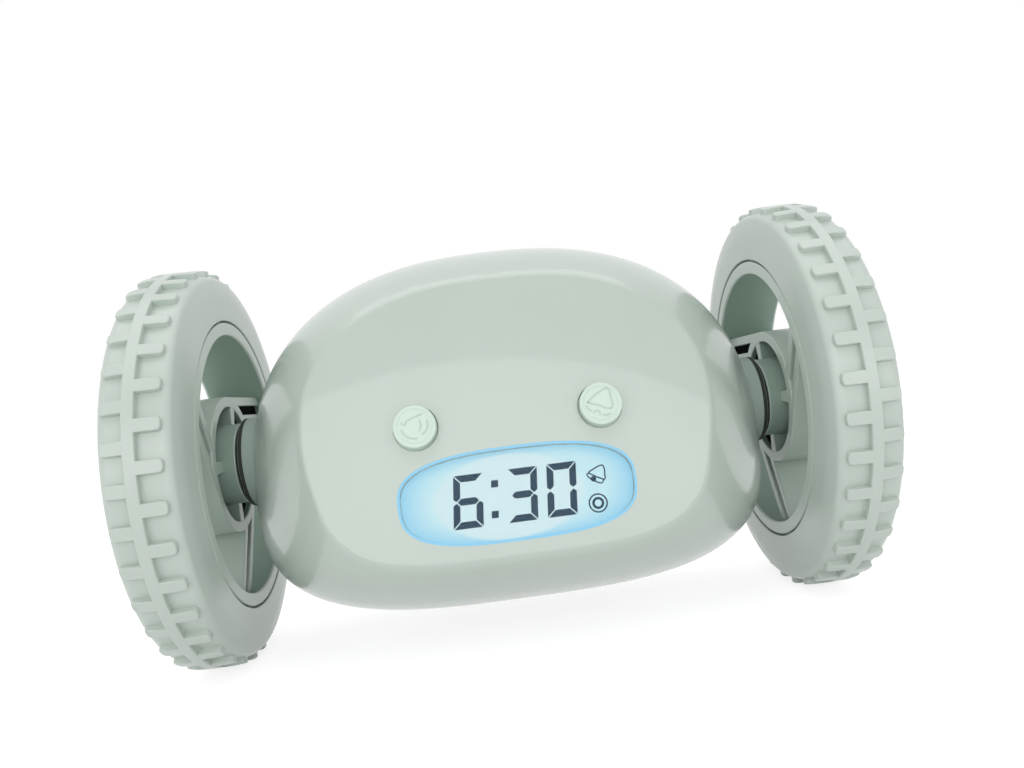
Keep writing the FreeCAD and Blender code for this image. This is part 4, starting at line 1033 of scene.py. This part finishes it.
def spoke_block(z_low, z_high, x_low, x_high, rounding=0.25, inner=14.4, outer=30.4):
    """Bar of a spoke between two heights, from inside the hub ring into the barrel wall."""
    corners = [
        (math.sqrt(max(0.0, inner**2 - z_low**2)), z_low),
        (math.sqrt(outer**2 - z_low**2), z_low),
        (math.sqrt(outer**2 - z_high**2), z_high),
        (math.sqrt(max(0.0, inner**2 - z_high**2)), z_high),
    ]
    return edgewise(corners, x_low, x_high, rounding)


def hub_rib(turn, material):
    """Rib between the sleeve and the ring, at a turn about the axle."""
    rib = edgewise(RIB_OUTLINE, HUB_LOW + 0.12, WEB_LOW + 0.1, rounding=0.2)
    return about_axle(rib, 1, turn, material)


def in_shade(middle, normal):
    """Whether a face of the rim gets painted shade: on a wall inside the barrel or inside the hub
    ring, or in the hub's recess.
    """
    radius = math.hypot(middle.y, middle.z)
    on_barrel = BARREL_INSIDE - 1 < radius < BARREL_INSIDE + 0.1
    on_wall = abs(normal.x) < 0.5 and (on_barrel or radius < RING_INSIDE + 0.3)
    in_recess = radius < RING_INSIDE - 0.2 and middle.x > 70
    return (on_wall or in_recess) and WHEEL_LOW + 0.5 < middle.x < WEB_HIGH - 0.4


def rim(material):
    """Barrel, hub ring, hub with its sleeve, spokes and ribs."""
    barrel = [
        (BARREL_INSIDE, WHEEL_LOW, 0.5),
        (32.35, WHEEL_LOW, 0.35),
        (32.35, 62.1),
        (31.6, 62.1),
        (31.6, 73.56),
        (32.35, 73.56),
        (32.35, 75.16, 0.35),
        (BARREL_INSIDE, 75.16, 0.6),
    ]
    ring = [
        (RING_INSIDE, HUB_LOW, 0.35),
        (15.6, HUB_LOW, 0.35),
        (15.6, WEB_HIGH, 0.35),
        (RING_INSIDE, WEB_HIGH),
    ]
    hub = [
        (8.2, WHEEL_LOW - 0.3, 0.25),
        (9.1, WHEEL_LOW - 0.3, 0.25),
        (9.1, WEB_LOW, 0.3),
        (15.2, WEB_LOW),
        (15.2, WEB_HIGH - 0.03),
        (8.1, WEB_HIGH - 0.03, 0.15),
        (8.1, 73.36),
        (2.02, 73.36),
        (2.02, HUB_LOW),
        (4.2, HUB_LOW),
        (4.2, WEB_LOW),
        (8.2, WEB_LOW),
    ]
    forms = [about_x(barrel, 180), about_x(ring, 120), about_x(hub, 120)]
    spoke = merged(
        [
            spoke_block(13.4, 15.55, HUB_LOW + 0.06, WEB_HIGH - 0.05),
            spoke_block(9.0, 11.2, HUB_LOW + 0.06, WEB_HIGH - 0.05),
            spoke_block(11.0, 13.6, WEB_LOW, WEB_HIGH - 0.1),
        ]
    )
    forms.append(about_axle(spoke, SPOKE_COUNT, 0.0, material))
    forms += [hub_rib(turn, material) for turn in RIB_TURNS]
    whole = merged(forms)
    for face in whole.faces:
        face.material_index = int(in_shade(face.calc_center_median(), face.normal))
    return whole


def arc_spots(radius, start, end, steps=24):
    """Points of an arc about the axle, from one turn to another."""
    turns = [math.radians(start + (end - start) * step / steps) for step in range(steps + 1)]
    return [(radius * math.cos(turn), radius * math.sin(turn)) for turn in turns]


def bent_plate(inner, outer, x_low, x_high):
    """Plate between an inner and an outer arc of as many (y, z) spots."""
    form = bmesh.new()
    rings = []
    for near, far in zip(inner, outer):
        corners = [(x_low, *near), (x_low, *far), (x_high, *far), (x_high, *near)]
        rings.append([form.verts.new(corner) for corner in corners])
    return skinned(form, rings)


def shade_linings(material):
    """Near-black sheets of painted shade in the spoke channels, in the rear pockets of the hub and
    in the sleeve's mouth.
    """
    strip = spoke_block(11.1, 13.5, SHADE_SHEET_LOW, SHADE_SHEET_HIGH, rounding=0.1, inner=15.4, outer=29.9)
    strips = about_axle(strip, SPOKE_COUNT, 0.0, material)
    mouth_shade = about_x([(4.4, 61.2), (8.3, 61.2, 0.1), (8.3, 62.4), (4.4, 62.4)], 72)
    pocket = bent_plate(arc_spots(9.0, -90, 76), arc_spots(13.4, -90, 76), SHADE_SHEET_LOW, SHADE_SHEET_HIGH)
    return merged([strips, mouth_shade, pocket])


rim_satin = plastic("rim_satin", (0.465, 0.545, 0.49), 0.3, grain=0.1, cloud=0.015)
# A darker copy of the rim plastic: painted shade on the walls inside the barrel and the hub ring
# and in the hub's recess.
rim_painted_shade = tuned(
    plastic("rim_painted_shade", (0.27, 0.36, 0.305), 0.5, grain=0.1, cloud=0.03),
    {"Specular IOR Level": 0.3},
)
# Near-black surface of the sheets in the hubs: painted shade.
painted_shade_black = tuned(
    plastic("painted_shade_black", (0.003, 0.0035, 0.0035), 0.95, grain=0.3, cloud=0.2),
    {"Specular IOR Level": 0.05},
)
cover = [
    (0, 73.36),
    (8.0, 73.36),
    (8.0, 74.9, 0.4),
    (6.9, 75.35, 0.8),
    (5.2, 75.35, 0.2),
    (5.0, 75.12, 0.2),
    (0, 75.12),
]
for side in ("left", "right"):
    wheel_piece("rim", rim(rim_satin), side, "wheel_rim", [rim_satin, rim_painted_shade])
    wheel_piece("hub_painted_shade", shade_linings(painted_shade_black), side, "", [painted_shade_black])
    wheel_piece("hub_cover", about_x(cover, 96), side, "hub_cap", [rim_satin])


# ------------------------------------------------------------- seals of the necks
# A collar round the mouth of each neck, in the necks' darker copy of the body's plastic,
# which is painted shade, and a near-black ring on it: painted shade in the gap between neck
# and wheel. Both are pressed on, and they stay with the body.
gap_shade_ring = [
    (8.4, 58.5),
    (10.06, 58.5, 0.1),
    (10.06, 59.3, 0.1),
    (9.2, 59.3, 0.1),
    (9.2, 60.0),
    (8.4, 60.0),
]
collar = [(9.0, 56.0), (10.06, 56.0), (10.06, 58.5, 0.1), (9.0, 58.5)]
# Near-black ring in the gap between neck and sleeve: painted shade.
gap_painted_shade = plastic("gap_painted_shade", (0.016, 0.019, 0.015), 0.6, grain=0.2, cloud=0.1)
SEALS = {
    "neck_gap_shade": (gap_shade_ring, gap_painted_shade, "rubber_strip"),
    "neck_collar": (collar, neck_matt_painted_shade, "body_plastic"),
}
for side in ("left", "right"):
    for name, (outline, surface, slot) in SEALS.items():
        wheel_piece(name, about_x(outline, 96), side, "", [surface], body="clock_body")


# ------------------------------------------------------------- boards and switches
# Green glass-fibre boards with dark chips, small white switches under the face buttons
# and under the set buttons.
board_green = plastic("board_green", (0.03, 0.16, 0.08), 0.35, cloud=0.25)
switch_resin = plastic("switch_resin", (0.75, 0.75, 0.72), 0.5)
dress("main_board", board_green)
dress("rear_switch_board", board_green)
dress("board_components", plastic("chip_resin", (0.02, 0.02, 0.022), 0.45, cloud=0.1))
dress("face_switches", switch_resin)
dress("set_switches", switch_resin)


# ------------------------------------------------------------- sound and power
# A paper-cone speaker in a dark basket, and four AAA cells in a tray with sprung
# contacts at both ends.
def metal(name, colour, roughness, cloud=0.05):
    """Bare metal with fine scratches in its gloss."""
    scratched = plastic(name, colour, roughness, grain=0.25, grain_size=0.0004, cloud=cloud)
    return tuned(scratched, {"Metallic": 1.0})


dress("speaker", plastic("speaker_paper", (0.03, 0.03, 0.032), 0.7, grain=0.4, cloud=0.15))
dress("battery_tray", plastic("tray_plastic", (0.42, 0.50, 0.455), 0.45))
dress("battery_cells", plastic("cell_jacket", (0.10, 0.11, 0.12), 0.3, cloud=0.1))
dress("battery_contacts", metal("nickel_plate", (0.70, 0.68, 0.64), 0.3))


# ------------------------------------------------------------- drives
# One small motor for each wheel, with a brass pinion, two steps of white moulded gears
# in a grey case, and a steel axle that carries the wheel.
gear_white = plastic("gear_acetal", (0.80, 0.80, 0.76), 0.4)
case_grey = plastic("case_grey", (0.30, 0.33, 0.32), 0.45)
bright_steel = metal("bright_steel", (0.62, 0.62, 0.63), 0.25)
plated_steel = metal("plated_steel", (0.72, 0.73, 0.74), 0.35)
pinion_brass = metal("pinion_brass", (0.78, 0.58, 0.28), 0.3)
DRIVE_SURFACES = {
    "motor": plated_steel,
    "motor_shaft": bright_steel,
    "motor_pinion": pinion_brass,
    "idler_gear": gear_white,
    "idler_pin": bright_steel,
    "output_gear": gear_white,
    "gear_case": case_grey,
    "gear_case_cover": case_grey,
    "axle": bright_steel,
    "axle_bush": gear_white,
    "hub_screw": plated_steel,
}
for part, surface in DRIVE_SURFACES.items():
    for side in ("left", "right"):
        dress(part + "_" + side, surface)


# ------------------------------------------------------------- screws
# Cross-head self-tapping screws of zinc-plated steel: four through the rear shell, and
# smaller ones in the boards, the gear cases and the battery door.
for node in ("housing_screws", "board_screws", "gear_case_screws", "door_screw"):
    dress(node, plated_steel)
